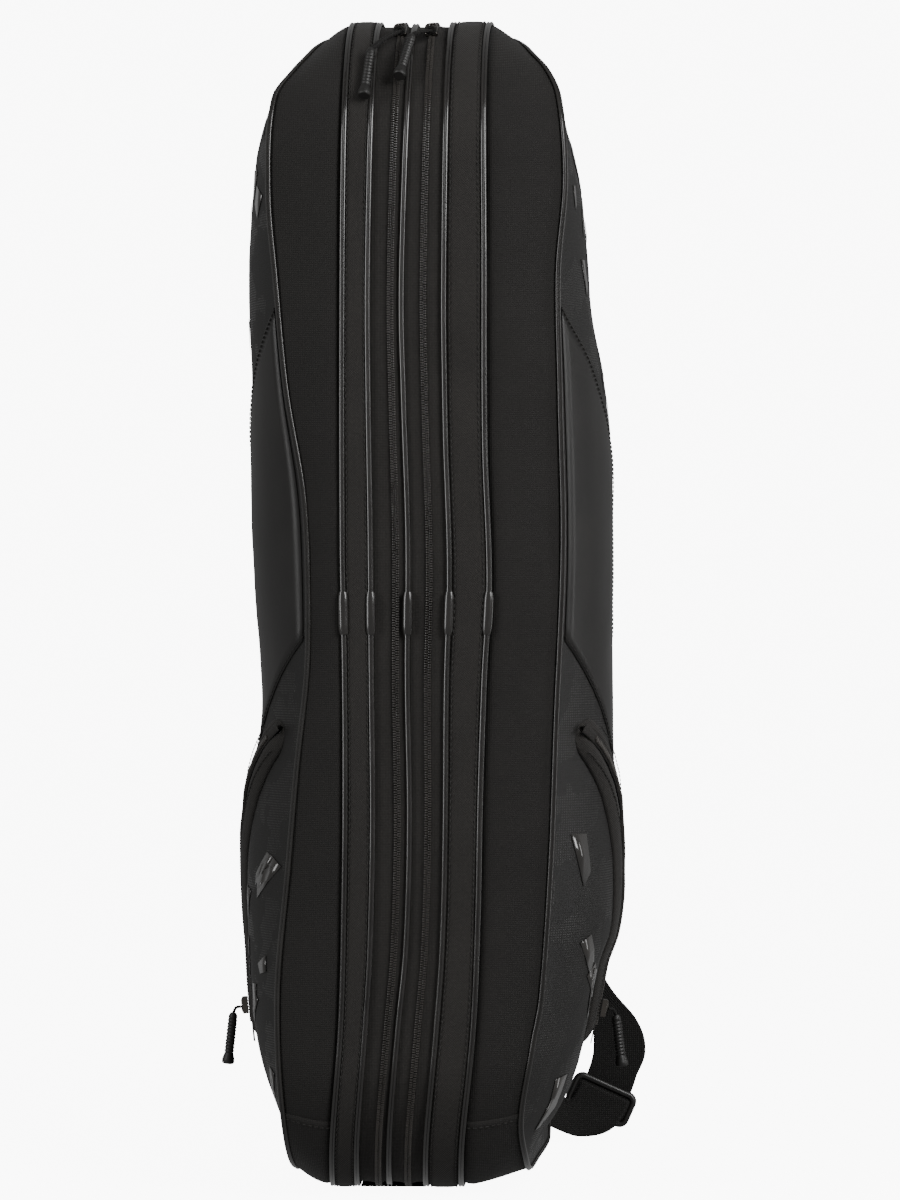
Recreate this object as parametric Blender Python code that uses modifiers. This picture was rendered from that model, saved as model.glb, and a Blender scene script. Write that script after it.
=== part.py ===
"""Racket tournament bag: two padded compartments zipped to a centre divider, hinged on a cloth spine.

X is the bag's thickness, -Y its zipper side, +Y its spine, and +Z its length. It stands on z = 0.
"""

import math

import bmesh
import bpy
from mathutils import Matrix, Vector
from mathutils.bvhtree import BVHTree

# Driving dimensions, in metres.
LENGTH = 0.760
DEPTH = 0.320
FRONT_TOP_RADIUS = 0.100
FRONT_BOTTOM_RADIUS = 0.090
SPINE_RADIUS = 0.060
CLOTH = 0.0025  # padded canvas
TAPE = 0.0012
PATCH_CLOTH = 0.0009
PIPING_RADIUS = 0.0015
PIPING_INSET = 0.0018
CENTRE_PIPING_INSET = 0.0030
PIPING_CLEAR = 0.0020  # from a piping's centre line to the cloth beside it
EDGE_INSET = 0.0025
TAPE_INSET = 0.0040
OUTER_INSET = 0.014  # of the outer piping, inward from the bag's outline
SEAM_GAP = 0.0003
PATCH_GAP = 0.0012  # between the gusset and its sewn end patches
CHAIN_GAP = 0.0007  # from a zipper's middle to either tape
HINGE_X = 0.049
FACE_END = 0.150  # from either end of the bag to the end of a face's middle line
FACE_SHOULDER = 0.085  # how far in from the outer piping a face panel still rises
WEBBING = 0.0018
WEBBING_WIDTH = 0.036

# Where the long seams cross the zipper side, from left to right.
GUSSET_SEAM_LEFT = -0.0462
BAND_SEAM_LEFT = -0.0291
CHAIN_LEFT = -0.0136
CENTRE_SEAM = -0.0060
CHAIN_RIGHT = 0.0073
BAND_SEAM_RIGHT = 0.0199
GUSSET_SEAM_RIGHT = 0.0446

# The pocket's opening is an arc on each face, about a centre given as (y, z).
POCKET_CENTRE = (-0.241, 0.128)
POCKET_RADIUS = 0.206
POCKET_PARKED = -3  # angle of the closed pocket's slider

SLIDER_TURN = 63  # angle of the parked main sliders round the top front corner
SLEEVE_MIDDLE = 0.375
SLEEVE_LENGTH = 0.026
SLEEVE_SECTION = [(-0.0030, 0.0004), (-0.0016, 0.0014), (0.0016, 0.0014), (0.0030, 0.0004)]

PAD_TOP, PAD_END = 0.700, 0.365
HANDLE_LOW, HANDLE_LENGTH, HANDLE_REACH = 0.110, 0.190, 0.032

# Straps: each point is the webbing's centre, then the direction of its width.
STRAP_ROUTE_LEFT = [
    (-0.026, 0.1760, 0.360, 1, 0, 0),
    (-0.032, 0.1860, 0.300, 1, 0, 0),
    (-0.037, 0.1940, 0.220, 1, 0, 0),
    (-0.038, 0.1975, 0.150, 1, 0, 0),
    (-0.038, 0.1975, 0.060, 1, 0, 0),
]
STRAP_LOWER_LEFT = [
    (-0.038, 0.2045, 0.110, 1, 0, 0),
    (-0.038, 0.2045, 0.060, 1, 0, 0),
    (-0.037, 0.1960, 0.036, 1, 0, 0),
    (-0.036, 0.1740, 0.040, 1, 0, 0),
    (-0.030, 0.1665, 0.060, 1, 0, 0),
]
STRAP_ROUTE_RIGHT = [
    (0.026, 0.1760, 0.360, 1, 0, 0),
    (0.040, 0.1860, 0.300, 1, 0, -0.15),
    (0.066, 0.1930, 0.220, 1, 0, -0.30),
    (0.100, 0.1970, 0.127, 1, 0, -0.50),
    (0.124, 0.1985, 0.090, 1, 0, -0.30),
    (0.129, 0.1990, 0.065, 1, 0, -0.05),
    (0.123, 0.1990, 0.045, 1, 0, 0.10),
    (0.114, 0.1990, 0.026, 1, 0, -0.30),
]
STRAP_LOWER_RIGHT = [
    (0.119, 0.1890, 0.036, 1, 0, -0.44),
    (0.109, 0.1880, 0.020, 1, 0, -0.60),
    (0.090, 0.1860, 0.021, 0.5, 0, -1),
    (0.066, 0.1800, 0.034, 0.3, 0, -1),
    (0.050, 0.1730, 0.045, 0.2, 0, -1),
    (0.034, 0.1665, 0.052, 0.2, 0, -1),
]

HALF = DEPTH / 2
COLLECTION = bpy.data.collections.new("racket_bag")
CUTTERS = bpy.data.collections.new("cutters")


def clear_scene():
    for old in list(bpy.data.objects):
        bpy.data.objects.remove(old, do_unlink=True)
    bpy.context.scene.collection.children.link(COLLECTION)
    bpy.context.scene.collection.children.link(CUTTERS)


def material(name, color, roughness, metallic=0.0):
    made = bpy.data.materials.new(name)
    made.use_nodes = True
    shader = made.node_tree.nodes["Principled BSDF"]
    shader.inputs["Base Color"].default_value = (*color, 1.0)
    shader.inputs["Roughness"].default_value = roughness
    shader.inputs["Metallic"].default_value = metallic
    made.diffuse_color = (*color, 1.0)
    return made


# The outline of the side view, and what varies along it.


def outline_stations():
    """Points round the side view, each (y, z, inward y, inward z), from the spine's foot forwards."""
    front_low = Vector((-HALF + FRONT_BOTTOM_RADIUS, FRONT_BOTTOM_RADIUS))
    front_high = Vector((-HALF + FRONT_TOP_RADIUS, LENGTH - FRONT_TOP_RADIUS))
    back_high = Vector((HALF - SPINE_RADIUS, LENGTH - SPINE_RADIUS))
    back_low = Vector((HALF - SPINE_RADIUS, SPINE_RADIUS))
    stations = []

    def run(start, end, steps, inward):
        for i in range(steps):
            point = start.lerp(end, i / steps)
            stations.append((point.x, point.y, *inward))

    def corner(centre, radius, first, last, steps):
        for i in range(steps):
            turn = math.radians(first + (last - first) * i / steps)
            out = Vector((math.cos(turn), math.sin(turn)))
            point = centre + radius * out
            stations.append((point.x, point.y, -out.x, -out.y))

    run(Vector((back_low.x, 0)), Vector((front_low.x, 0)), 4, (0, 1))
    corner(front_low, FRONT_BOTTOM_RADIUS, 270, 180, 6)
    run(Vector((-HALF, front_low.y)), Vector((-HALF, front_high.y)), 14, (1, 0))
    corner(front_high, FRONT_TOP_RADIUS, 180, 90, 6)
    run(Vector((front_high.x, LENGTH)), Vector((back_high.x, LENGTH)), 4, (0, -1))
    corner(back_high, SPINE_RADIUS, 90, 0, 4)
    run(Vector((HALF, back_high.y)), Vector((HALF, back_low.y)), 6, (-1, 0))
    corner(back_low, SPINE_RADIUS, 0, -90, 4)
    return stations


STATIONS = outline_stations()
FIRST_TOP_REAR = 4 + 6 + 14 + 6 + 4  # station where the top run meets the spine's corner
WRAP = list(range(FIRST_TOP_REAR + 1))  # the stretch that the bands and zippers follow
LOOP = list(range(len(STATIONS)))
BOTTOM_PATCH = list(range(0, 9))
FRONT_STRETCH = list(range(8, 27))
TOP_PATCH = list(range(26, FIRST_TOP_REAR + 1))
REAR_STRETCH = list(range(FIRST_TOP_REAR, len(STATIONS))) + [0]


def distances():
    """Each station's distance along the outline, and the whole way round."""
    found = [0.0]
    for i in range(1, len(STATIONS) + 1):
        a, b = STATIONS[i - 1], STATIONS[i % len(STATIONS)]
        found.append(found[-1] + math.hypot(b[0] - a[0], b[1] - a[1]))
    return found[:-1], found[-1]


DISTANCE, GIRTH = distances()


def at_front(z):
    """Distance along the outline of a height on the zipper side's straight run."""
    return DISTANCE[10] + z - FRONT_BOTTOM_RADIUS


def smooth_curve(knots):
    """A smooth function through knots (distance, value), level beyond the first and the last."""
    knots = sorted(knots)
    slopes = [0.0]
    for before, after in zip(knots, knots[2:]):
        slopes.append((after[1] - before[1]) / (after[0] - before[0]))
    slopes.append(0.0)

    def value(s):
        if s <= knots[0][0]:
            return knots[0][1]
        for (s0, v0), (s1, v1), m0, m1 in zip(knots, knots[1:], slopes, slopes[1:]):
            if s <= s1:
                span = s1 - s0
                t = (s - s0) / span
                return (
                    v0 * (1 + 2 * t) * (1 - t) ** 2
                    + m0 * span * t * (1 - t) ** 2
                    + v1 * t * t * (3 - 2 * t)
                    + m1 * span * t * t * (t - 1)
                )
        return knots[-1][1]

    return value


BOTTOM_MID = DISTANCE[3]
TOP_MID = DISTANCE[31]
TOP_END = DISTANCE[FIRST_TOP_REAR]
LOW_BEND = DISTANCE[7]
HIGH_BEND = DISTANCE[27]

# How far the strips stray sideways from straight at the left, centre and right seams.
SHIFT_LEFT = smooth_curve(
    [(0, 0), (BOTTOM_MID, -0.010), (LOW_BEND, -0.008), (at_front(0.110), -0.001), (at_front(0.200), 0.0013)]
    + [(at_front(0.256), 0.0018), (at_front(0.332), 0.0015), (at_front(0.420), 0), (at_front(0.600), 0)]
    + [(HIGH_BEND, 0.0016), (TOP_MID, 0.0025), (TOP_END, 0)]
)
SHIFT_CENTRE = smooth_curve(
    [(0, 0), (BOTTOM_MID, -0.013), (LOW_BEND, -0.012), (at_front(0.110), -0.005), (at_front(0.160), 0)]
    + [(at_front(0.240), 0.0024), (at_front(0.332), 0.0010), (at_front(0.420), 0.0014)]
    + [(at_front(0.509), -0.0014), (at_front(0.580), -0.0028), (HIGH_BEND, 0.0018), (TOP_MID, 0.003)]
    + [(TOP_END, 0)]
)
SHIFT_RIGHT = smooth_curve(
    [(0, 0), (BOTTOM_MID, -0.016), (LOW_BEND, -0.0164), (at_front(0.110), -0.008), (at_front(0.180), -0.005)]
    + [(at_front(0.256), -0.0035), (at_front(0.332), -0.001), (at_front(0.395), 0.0022)]
    + [(at_front(0.480), -0.0006), (at_front(0.600), -0.001), (HIGH_BEND, -0.0014), (TOP_MID, 0.0015)]
    + [(TOP_END, 0)]
)

# Half the bag's width at the outer piping, round the outline.
PIPING_X_LEFT = smooth_curve(
    [(0, 0.080), (BOTTOM_MID, 0.078), (LOW_BEND, 0.084), (at_front(0.128), 0.0884), (at_front(0.211), 0.0815)]
    + [(at_front(0.278), 0.0757), (at_front(0.339), 0.0693), (at_front(0.400), 0.0690)]
    + [(at_front(0.451), 0.0719), (at_front(0.516), 0.0827), (at_front(0.588), 0.0897)]
    + [(at_front(0.642), 0.0941), (DISTANCE[26], 0.0910), (HIGH_BEND, 0.0800), (DISTANCE[28], 0.0700)]
    + [(DISTANCE[30], 0.0590), (TOP_END, 0.060), (TOP_END + 0.100, 0.078), (GIRTH, 0.080)]
)
PIPING_X_RIGHT = smooth_curve(
    [(0, 0.080), (BOTTOM_MID, 0.0740), (DISTANCE[6], 0.0690), (DISTANCE[8], 0.0665), (at_front(0.101), 0.0745)]
    + [(at_front(0.128), 0.0796), (at_front(0.217), 0.0859), (at_front(0.304), 0.0891)]
    + [(at_front(0.416), 0.0935), (at_front(0.512), 0.0916), (at_front(0.590), 0.0904)]
    + [(at_front(0.650), 0.0950), (DISTANCE[26], 0.0905), (HIGH_BEND, 0.0830), (DISTANCE[28], 0.0720)]
    + [(DISTANCE[30], 0.0590), (TOP_END, 0.060), (TOP_END + 0.100, 0.078), (GIRTH, 0.080)]
)

# Half the bag's width along its middle, by height.
FACE_X_LEFT = smooth_curve(
    [(0.012, 0.078), (0.034, 0.089), (0.064, 0.100), (0.120, 0.110), (0.200, 0.1137), (0.254, 0.1123)]
    + [(0.313, 0.1070), (0.382, 0.1110), (0.449, 0.1143), (0.600, 0.1150), (0.654, 0.1123), (0.700, 0.1077)]
    + [(0.722, 0.1010), (0.737, 0.0917), (0.746, 0.0800)]
)
FACE_X_RIGHT = smooth_curve(
    [(0.012, 0.070), (0.032, 0.084), (0.049, 0.0950), (0.097, 0.107), (0.145, 0.1163), (0.168, 0.1240)]
    + [(0.205, 0.1270), (0.289, 0.1263), (0.462, 0.1263), (0.531, 0.1210), (0.567, 0.1143), (0.645, 0.1070)]
    + [(0.682, 0.1010), (0.709, 0.0943), (0.730, 0.0870), (0.746, 0.0763)]
)


def seam_x(nominal, distance):
    """Where a seam that nominally lies at this X really runs, at a distance along the outline."""
    left, centre, right = SHIFT_LEFT(distance), SHIFT_CENTRE(distance), SHIFT_RIGHT(distance)
    if nominal < CENTRE_SEAM:
        share = (nominal - GUSSET_SEAM_LEFT) / (CENTRE_SEAM - GUSSET_SEAM_LEFT)
        return nominal + left + (centre - left) * share
    share = (nominal - CENTRE_SEAM) / (GUSSET_SEAM_RIGHT - CENTRE_SEAM)
    return nominal + centre + (right - centre) * share


def outline_point(index, x, inset):
    y, z, inward_y, inward_z = STATIONS[index]
    return Vector((x, y + inward_y * inset, z + inward_z * inset))


# Ways of making a solid.


def finish(obj, paint, smooth=True):
    COLLECTION.objects.link(obj)
    obj.data.materials.clear()
    obj.data.materials.append(paint)
    if smooth and obj.type == "MESH":
        obj.data.shade_smooth()
        obj.data.set_sharp_from_angle(angle=math.radians(40))
    return obj


def mesh_of(name, points, faces):
    mesh = bpy.data.meshes.new(name)
    mesh.from_pydata(points, [], faces)
    mesh.update()
    return mesh


def grid_faces(rows, columns, closed=False):
    faces = []
    for i in range(rows if closed else rows - 1):
        for j in range(columns - 1):
            a, b = i * columns + j, (i + 1) % rows * columns + j
            faces.append((a, b, b + 1, a + 1))
    return faces


def sheet(name, rows, thickness, paint, closed=False, outward=None, trim=SEAM_GAP):
    """A shell on a grid of points, thickened away from the side that faces outward."""
    if not closed:
        for end, beside in ((0, 1), (-1, -2)):
            step = trim / (rows[beside][0] - rows[end][0]).length
            rows[end] = [p.lerp(q, step) for p, q in zip(rows[end], rows[beside])]
    columns = len(rows[0])
    points = [point for row in rows for point in row]
    mesh = mesh_of(name, points, grid_faces(len(rows), columns, closed))
    if outward is not None:
        face = mesh.polygons[len(mesh.polygons) // 2]
        if face.normal.dot(outward(face.center)) < 0:
            mesh.flip_normals()
    obj = bpy.data.objects.new(name, mesh)
    wall = obj.modifiers.new("thickness", "SOLIDIFY")
    wall.thickness = thickness
    wall.offset = -1
    wall.use_even_offset = True
    return finish(obj, paint)


def tube(name, points, radius, paint, closed=False, sides=1):
    """A round cord on a polyline."""
    curve = bpy.data.curves.new(name, "CURVE")
    curve.dimensions = "3D"
    curve.bevel_depth = radius
    curve.bevel_resolution = sides
    curve.use_fill_caps = not closed
    spline = curve.splines.new("POLY")
    spline.points.add(len(points) - 1)
    for place, point in zip(spline.points, points):
        place.co = (*point, 1)
    spline.use_cyclic_u = closed
    obj = bpy.data.objects.new(name, curve)
    return finish(obj, paint)


def away_from_middle(centre):
    return Vector((0, centre.y, centre.z - LENGTH / 2))


def strip(name, first, last, insets, thickness, paint, stations=WRAP):
    """A strip of cloth that follows the outline between two seams, with an inset for each column."""
    rows = []
    for i in stations:
        row = []
        for j, inset in enumerate(insets):
            nominal = first + (last - first) * j / (len(insets) - 1)
            row.append(outline_point(i, seam_x(nominal, DISTANCE[i]), inset))
        rows.append(row)
    return sheet(name, rows, thickness, paint, outward=away_from_middle)


def seam_tube(name, seam, paint, inset=PIPING_INSET):
    points = [outline_point(i, seam_x(seam, DISTANCE[i]), inset) for i in WRAP]
    for end, beside in ((0, 1), (-1, -2)):
        points[end] = points[end].lerp(points[beside], 0.03)
    return tube(name, points, PIPING_RADIUS, paint)


# The two cases.


def edge_x(side, index):
    """Signed X of the outer piping at a station; side is -1 on the left and 1 on the right."""
    reach = PIPING_X_LEFT if side < 0 else PIPING_X_RIGHT
    return side * reach(DISTANCE[index])


def gusset_seam_x(side, index):
    """Signed X of the gusset's inner seam, which is straight at the spine."""
    if index >= FIRST_TOP_REAR or index == 0:
        return side * (HINGE_X - PIPING_CLEAR)
    return seam_x(GUSSET_SEAM_LEFT if side < 0 else GUSSET_SEAM_RIGHT, DISTANCE[index])


def gusset(name, side, stations, paint):
    """The side wall between the gusset seam and the outer piping, slightly crowned."""
    rows = []
    for i in stations:
        inner = gusset_seam_x(side, i) + side * PIPING_CLEAR
        outer = edge_x(side, i) - side * PIPING_CLEAR
        row = []
        for j in range(4):
            share = j / 3
            inset = EDGE_INSET + (OUTER_INSET - EDGE_INSET) * share**1.6
            row.append(outline_point(i, inner + (outer - inner) * share, inset))
        rows.append(row)
    return sheet(name, rows, CLOTH, paint, outward=away_from_middle, trim=PATCH_GAP)


def face_point(side, index, share):
    """A point on a face panel: share 0 at the outer piping, 1 on the panel's middle line."""
    y, z, inward_y, inward_z = STATIONS[index]
    start = Vector((y + inward_y * (OUTER_INSET + 0.002), z + inward_z * (OUTER_INSET + 0.002)))
    middle = Vector((0, min(max(start.y, FACE_END), LENGTH - FACE_END)))
    place = start.lerp(middle, share)
    travelled = share * (middle - start).length
    rise = 1 - max(0, 1 - travelled / FACE_SHOULDER) ** 2.2
    widest = (FACE_X_LEFT if side < 0 else FACE_X_RIGHT)(place.y)
    edge = abs(edge_x(side, index)) + PIPING_CLEAR
    return Vector((side * (edge + (max(widest, edge) - edge) * rise), place.x, place.y))


def face_panel(name, side, paint):
    """The domed side, in rings from the outer piping to a slit that is closed along the middle."""
    rings = [0, 0.07, 0.17, 0.32, 0.55, 0.80]
    count = len(LOOP)
    points = [face_point(side, i, share) for share in rings for i in LOOP]
    faces = []
    for ring in range(len(rings) - 1):
        for i in range(count):
            a, b = ring * count + i, ring * count + (i + 1) % count
            faces.append((a, b, b + count, a + count))
    last = (len(rings) - 1) * count
    shape = bmesh.new()
    mesh = mesh_of(name, points, faces)
    shape.from_mesh(mesh)
    shape.verts.ensure_lookup_table()
    edges = [e for e in shape.edges if e.is_boundary and all(v.index >= last for v in e.verts)]
    bmesh.ops.triangle_fill(shape, edges=edges, use_beauty=True)
    bmesh.ops.recalc_face_normals(shape, faces=shape.faces)
    if sum(face.normal.x for face in shape.faces) * side < 0:
        bmesh.ops.reverse_faces(shape, faces=shape.faces)
    shape.to_mesh(mesh)
    shape.free()
    obj = bpy.data.objects.new(name, mesh)
    wall = obj.modifiers.new("thickness", "SOLIDIFY")
    wall.thickness = CLOTH
    wall.offset = -1
    return finish(obj, paint)


class FaceSurface:
    """Finds points on a finished face panel from their Y and Z."""

    def __init__(self, panel, side):
        bpy.context.view_layer.update()
        graph = bpy.context.evaluated_depsgraph_get()
        self.tree = BVHTree.FromObject(panel, graph)
        self.side = side

    def point(self, y, z, lift):
        start = Vector((self.side * 0.4, y, z))
        hit, normal, _, _ = self.tree.ray_cast(start, Vector((-self.side, 0, 0)))
        return hit + normal * lift


def pocket_row(surface, turn, half_width, lift, columns=3):
    """Points across the pocket's curved opening at one angle about its centre."""
    row = []
    for j in range(columns):
        reach = POCKET_RADIUS + half_width * (2 * j / (columns - 1) - 1)
        y = POCKET_CENTRE[0] + reach * math.cos(turn)
        z = POCKET_CENTRE[1] + reach * math.sin(turn)
        row.append(surface.point(y, z, lift))
    return row


def pocket_strip(name, surface, half_width, lift, thickness, first, last, paint):
    turns = [math.radians(first + (last - first) * i / 16) for i in range(17)]
    rows = [pocket_row(surface, turn, half_width, lift) for turn in turns]
    return sheet(name, rows, thickness, paint, outward=lambda c: Vector((surface.side, 0, 0)))


def placed_box(name, centre, along, across, sizes, bevel, paint):
    """A rounded block: sizes run along, across and outward."""
    along, across = along.normalized(), across.normalized()
    out = along.cross(across).normalized()
    across = out.cross(along).normalized()
    shape = bmesh.new()
    bmesh.ops.create_cube(shape, size=1)
    bmesh.ops.scale(shape, vec=sizes, verts=shape.verts)
    mesh = bpy.data.meshes.new(name)
    shape.to_mesh(mesh)
    shape.free()
    turn = Matrix((along, across, out)).transposed().to_4x4()
    obj = bpy.data.objects.new(name, mesh)
    obj.matrix_world = Matrix.Translation(centre) @ turn
    rounding = obj.modifiers.new("rounding", "BEVEL")
    rounding.width = bevel
    rounding.segments = 2
    return finish(obj, paint)


def turned(name, start, end, profile, paint):
    """A round piece along a line: profile holds (share of the length, radius)."""
    axis = (end - start).normalized()
    side = axis.orthogonal().normalized()
    other = axis.cross(side)
    rows = []
    for share, radius in profile:
        centre = start.lerp(end, share)
        turns = [2 * math.pi * k / 10 for k in range(10)]
        rows.append([centre + radius * (math.cos(t) * side + math.sin(t) * other) for t in turns])
    points = [p for row in rows for p in row]
    faces = [tuple(reversed(range(10))), tuple(range(len(points) - 10, len(points)))]
    for i in range(len(rows) - 1):
        for k in range(10):
            a, b = i * 10 + k, i * 10 + (k + 1) % 10
            faces.append((a, b, b + 10, a + 10))
    return finish(bpy.data.objects.new(name, mesh_of(name, points, faces)), paint)


SLEEVE_PROFILE = [(0, 0.0022), (0.06, 0.0031), (0.80, 0.0033), (0.92, 0.0042), (1, 0.0042)]


def arc_point(turn_deg, x, inset):
    """A point over the top front corner, by its angle up from the zipper side."""
    turn = math.radians(turn_deg)
    reach = FRONT_TOP_RADIUS - inset
    y = -HALF + FRONT_TOP_RADIUS - reach * math.cos(turn)
    return Vector((x, y, LENGTH - FRONT_TOP_RADIUS + reach * math.sin(turn)))


def main_slider(word, chain, sleeve_x, sleeve_turns, steel, rubber, cord):
    """A metal slider parked near the top, its ring, and the corded rubber pull that hangs from it."""
    x = seam_x(chain, HIGH_BEND)
    centre = arc_point(SLIDER_TURN, x, 0.0004)
    ahead = (arc_point(SLIDER_TURN - 1, x, 0.0004) - centre).normalized()
    out = (arc_point(SLIDER_TURN, x, -0.1) - centre).normalized()
    across = Vector((1, 0, 0))
    placed_box(f"{word}_slider", centre, ahead, across, (0.014, 0.0084, 0.0034), 0.001, steel)
    ring_centre = centre + out * 0.0048 + ahead * 0.0052
    ring = []
    for k in range(14):
        turn = 2 * math.pi * k / 14
        ring.append(ring_centre + across * 0.0034 * math.cos(turn) + ahead * 0.0052 * math.sin(turn))
    tube(f"{word}_pull_ring", ring, 0.0006, steel, closed=True)
    top = arc_point(sleeve_turns[0], sleeve_x[0], -0.0060)
    tip = arc_point(sleeve_turns[1], sleeve_x[1], -0.0060)
    start = ring_centre + ahead * 0.0072
    lead = (tip - top).normalized()
    knots = [start, start.lerp(top, 0.35) + out * 0.0008, start.lerp(top, 0.7) + out * 0.001, top - lead * 0.0016]
    tube(f"{word}_pull_cord", knots, 0.0012, cord)
    turned(f"{word}_pull_sleeve", top, tip, SLEEVE_PROFILE, rubber)


def pocket(word, side, surface, print_cloth, coil, steel, rubber):
    """The curved welted pocket opening on a face, its zipper, slider and pull."""
    pocket_strip(f"{word}_pocket_welt", surface, 0.0125, 0.0048, 0.0020, 57, -10, print_cloth)
    pocket_strip(f"{word}_pocket_zipper", surface, 0.0030, 0.0069, 0.0012, 55, -7, coil)
    turn = math.radians(POCKET_PARKED)
    here = pocket_row(surface, turn, 0, 0.0092)[1]
    ahead = pocket_row(surface, turn - 0.05, 0, 0.0092)[1] - here
    inward = pocket_row(surface, turn, 0.004, 0.0092)
    placed_box(f"{word}_pocket_slider", here, ahead, inward[2] - inward[0], (0.011, 0.0074, 0.0032), 0.0009, steel)
    hang = here + Vector((side * 0.0065, 0.001, -0.006))
    tip = hang + Vector((side * 0.004, 0.004, -0.034))
    turned(f"{word}_pocket_pull", hang, tip, SLEEVE_PROFILE, rubber)


def case(word, side, paints):
    """Everything that swings with one compartment."""
    canvas, gusset_cloth, print_cloth, gloss, coil, steel, rubber = paints
    panel = face_panel(f"{word}_face_panel", side, print_cloth)
    gusset(f"{word}_front_gusset", side, FRONT_STRETCH, gusset_cloth)
    gusset(f"{word}_top_gusset", side, TOP_PATCH, gusset_cloth)
    gusset(f"{word}_bottom_gusset", side, BOTTOM_PATCH, gusset_cloth)
    gusset(f"{word}_rear_gusset", side, REAR_STRETCH, gusset_cloth)
    loop = [outline_point(i, edge_x(side, i), OUTER_INSET - 0.001) for i in LOOP]
    tube(f"{word}_outer_piping", loop, PIPING_RADIUS, gloss, closed=True)
    gusset_seam = GUSSET_SEAM_LEFT if side < 0 else GUSSET_SEAM_RIGHT
    band_seam = BAND_SEAM_LEFT if side < 0 else BAND_SEAM_RIGHT
    chain = CHAIN_LEFT if side < 0 else CHAIN_RIGHT
    insets = (EDGE_INSET, 0.0, 0.0, EDGE_INSET)
    first, last = gusset_seam - side * PIPING_CLEAR, band_seam + side * PIPING_CLEAR
    strip(f"{word}_band", first, last, insets, CLOTH, canvas)
    seam_tube(f"{word}_gusset_piping", gusset_seam, gloss)
    seam_tube(f"{word}_band_piping", band_seam, gloss)
    first, last = band_seam - side * PIPING_CLEAR, chain + side * CHAIN_GAP
    strip(f"{word}_outer_tape", first, last, (TAPE_INSET, TAPE_INSET, 0.003), TAPE, coil)
    pocket(word, side, FaceSurface(panel, side), print_cloth, coil, steel, rubber)
    for seam, label in ((gusset_seam, "gusset"), (band_seam, "band")):
        piping_sleeve(f"{word}_{label}_piping_sleeve", seam, gloss)


def piping_sleeve(name, seam, paint):
    """The short sleeve that covers the joint in a piping, halfway up the zipper side."""
    rows = []
    for i in range(5):
        s = at_front(SLEEVE_MIDDLE + SLEEVE_LENGTH * (i / 4 - 0.5))
        x = seam_x(seam, s)
        z = s - at_front(0)
        rows.append([Vector((x + dx, -HALF - dy, z)) for dx, dy in SLEEVE_SECTION])
    return sheet(name, rows, 0.0006, paint, outward=lambda c: Vector((0, -1, 0)))


def face_slab(name, x, thickness, inset, paint):
    """A flat stiffened panel that follows the outline."""
    curve = bpy.data.curves.new(name, "CURVE")
    curve.dimensions = "2D"
    curve.fill_mode = "BOTH"
    curve.extrude = thickness / 2
    spline = curve.splines.new("POLY")
    spline.points.add(len(LOOP) - 1)
    for place, i in zip(spline.points, LOOP):
        point = outline_point(i, 0, inset)
        place.co = (point.y, point.z, 0, 1)
    spline.use_cyclic_u = True
    obj = bpy.data.objects.new(name, curve)
    across = Matrix(((0, 0, 1), (1, 0, 0), (0, 1, 0))).to_4x4()
    obj.matrix_world = Matrix.Translation((x, 0, 0)) @ across
    return finish(obj, paint)


def ribbon(name, centres, widths, thickness, paint):
    """Flat webbing through centre points, with the direction of its width at each."""
    rows = []
    for centre, width in zip(centres, widths):
        half = Vector(width).normalized() * WEBBING_WIDTH / 2
        rows.append([Vector(centre) - half, Vector(centre) + half])
    return sheet(name, rows, thickness, paint, outward=lambda c: Vector((0, 1, 0)))


def adjuster(name, centre, tilt_deg, paint):
    """The rounded slide frame on a strap, with its two slots."""
    tilt = math.radians(tilt_deg)
    along = Vector((math.cos(tilt), 0, math.sin(tilt)))
    up = Vector((-math.sin(tilt), 0, math.cos(tilt)))
    wide, tall = WEBBING_WIDTH / 2 + 0.006, 0.013
    frame = placed_box(name, centre, along, up, (2 * wide, 2 * tall, 0.0044), 0.0015, paint)
    for place in (-1, 1):
        middle = centre + up * place * 0.0058
        slot = placed_box(f"{name}_slot", middle, along, up, (WEBBING_WIDTH + 0.002, 0.0060, 0.02), 0.0012, paint)
        COLLECTION.objects.unlink(slot)
        CUTTERS.objects.link(slot)
        slot.hide_render = True
        slot.display_type = "WIRE"
        cut = frame.modifiers.new("slot", "BOOLEAN")
        cut.operation = "DIFFERENCE"
        cut.object = slot
    return frame


def strap(word, route, lower, slide_centre, slide_tilt, paints):
    """A backpack strap: pad, webbing, slide adjuster, lower webbing and the tab that anchors it."""
    padding, webbing, plastic = paints
    x = route[0][0]
    rows = []
    for share in range(9):
        z = PAD_TOP + (PAD_END - PAD_TOP) * share / 8
        y = 0.1735 + 0.010 * math.sin(math.pi * share / 8)
        half = 0.021 if 0 < share < 8 else 0.017
        rows.append([Vector((x - half, y, z)), Vector((x, y + 0.002, z)), Vector((x + half, y, z))])
    sheet(f"{word}_strap_pad", rows, 0.009, padding, outward=lambda c: Vector((0, 1, 0)))
    ribbon(f"{word}_strap_webbing", *zip(*[(p[:3], p[3:]) for p in route]), WEBBING, webbing)
    adjuster(f"{word}_strap_adjuster", slide_centre, slide_tilt, plastic)
    ribbon(f"{word}_lower_webbing", *zip(*[(p[:3], p[3:]) for p in lower]), WEBBING, webbing)
    foot = Vector(lower[-1][:3])
    tab = Vector((foot.x, 0.1625, foot.z + 0.010))
    placed_box(f"{word}_strap_tab", tab, Vector((1, 0, 0)), Vector((0, 0, 1)), (0.034, 0.026, 0.0030), 0.001, webbing)


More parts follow.
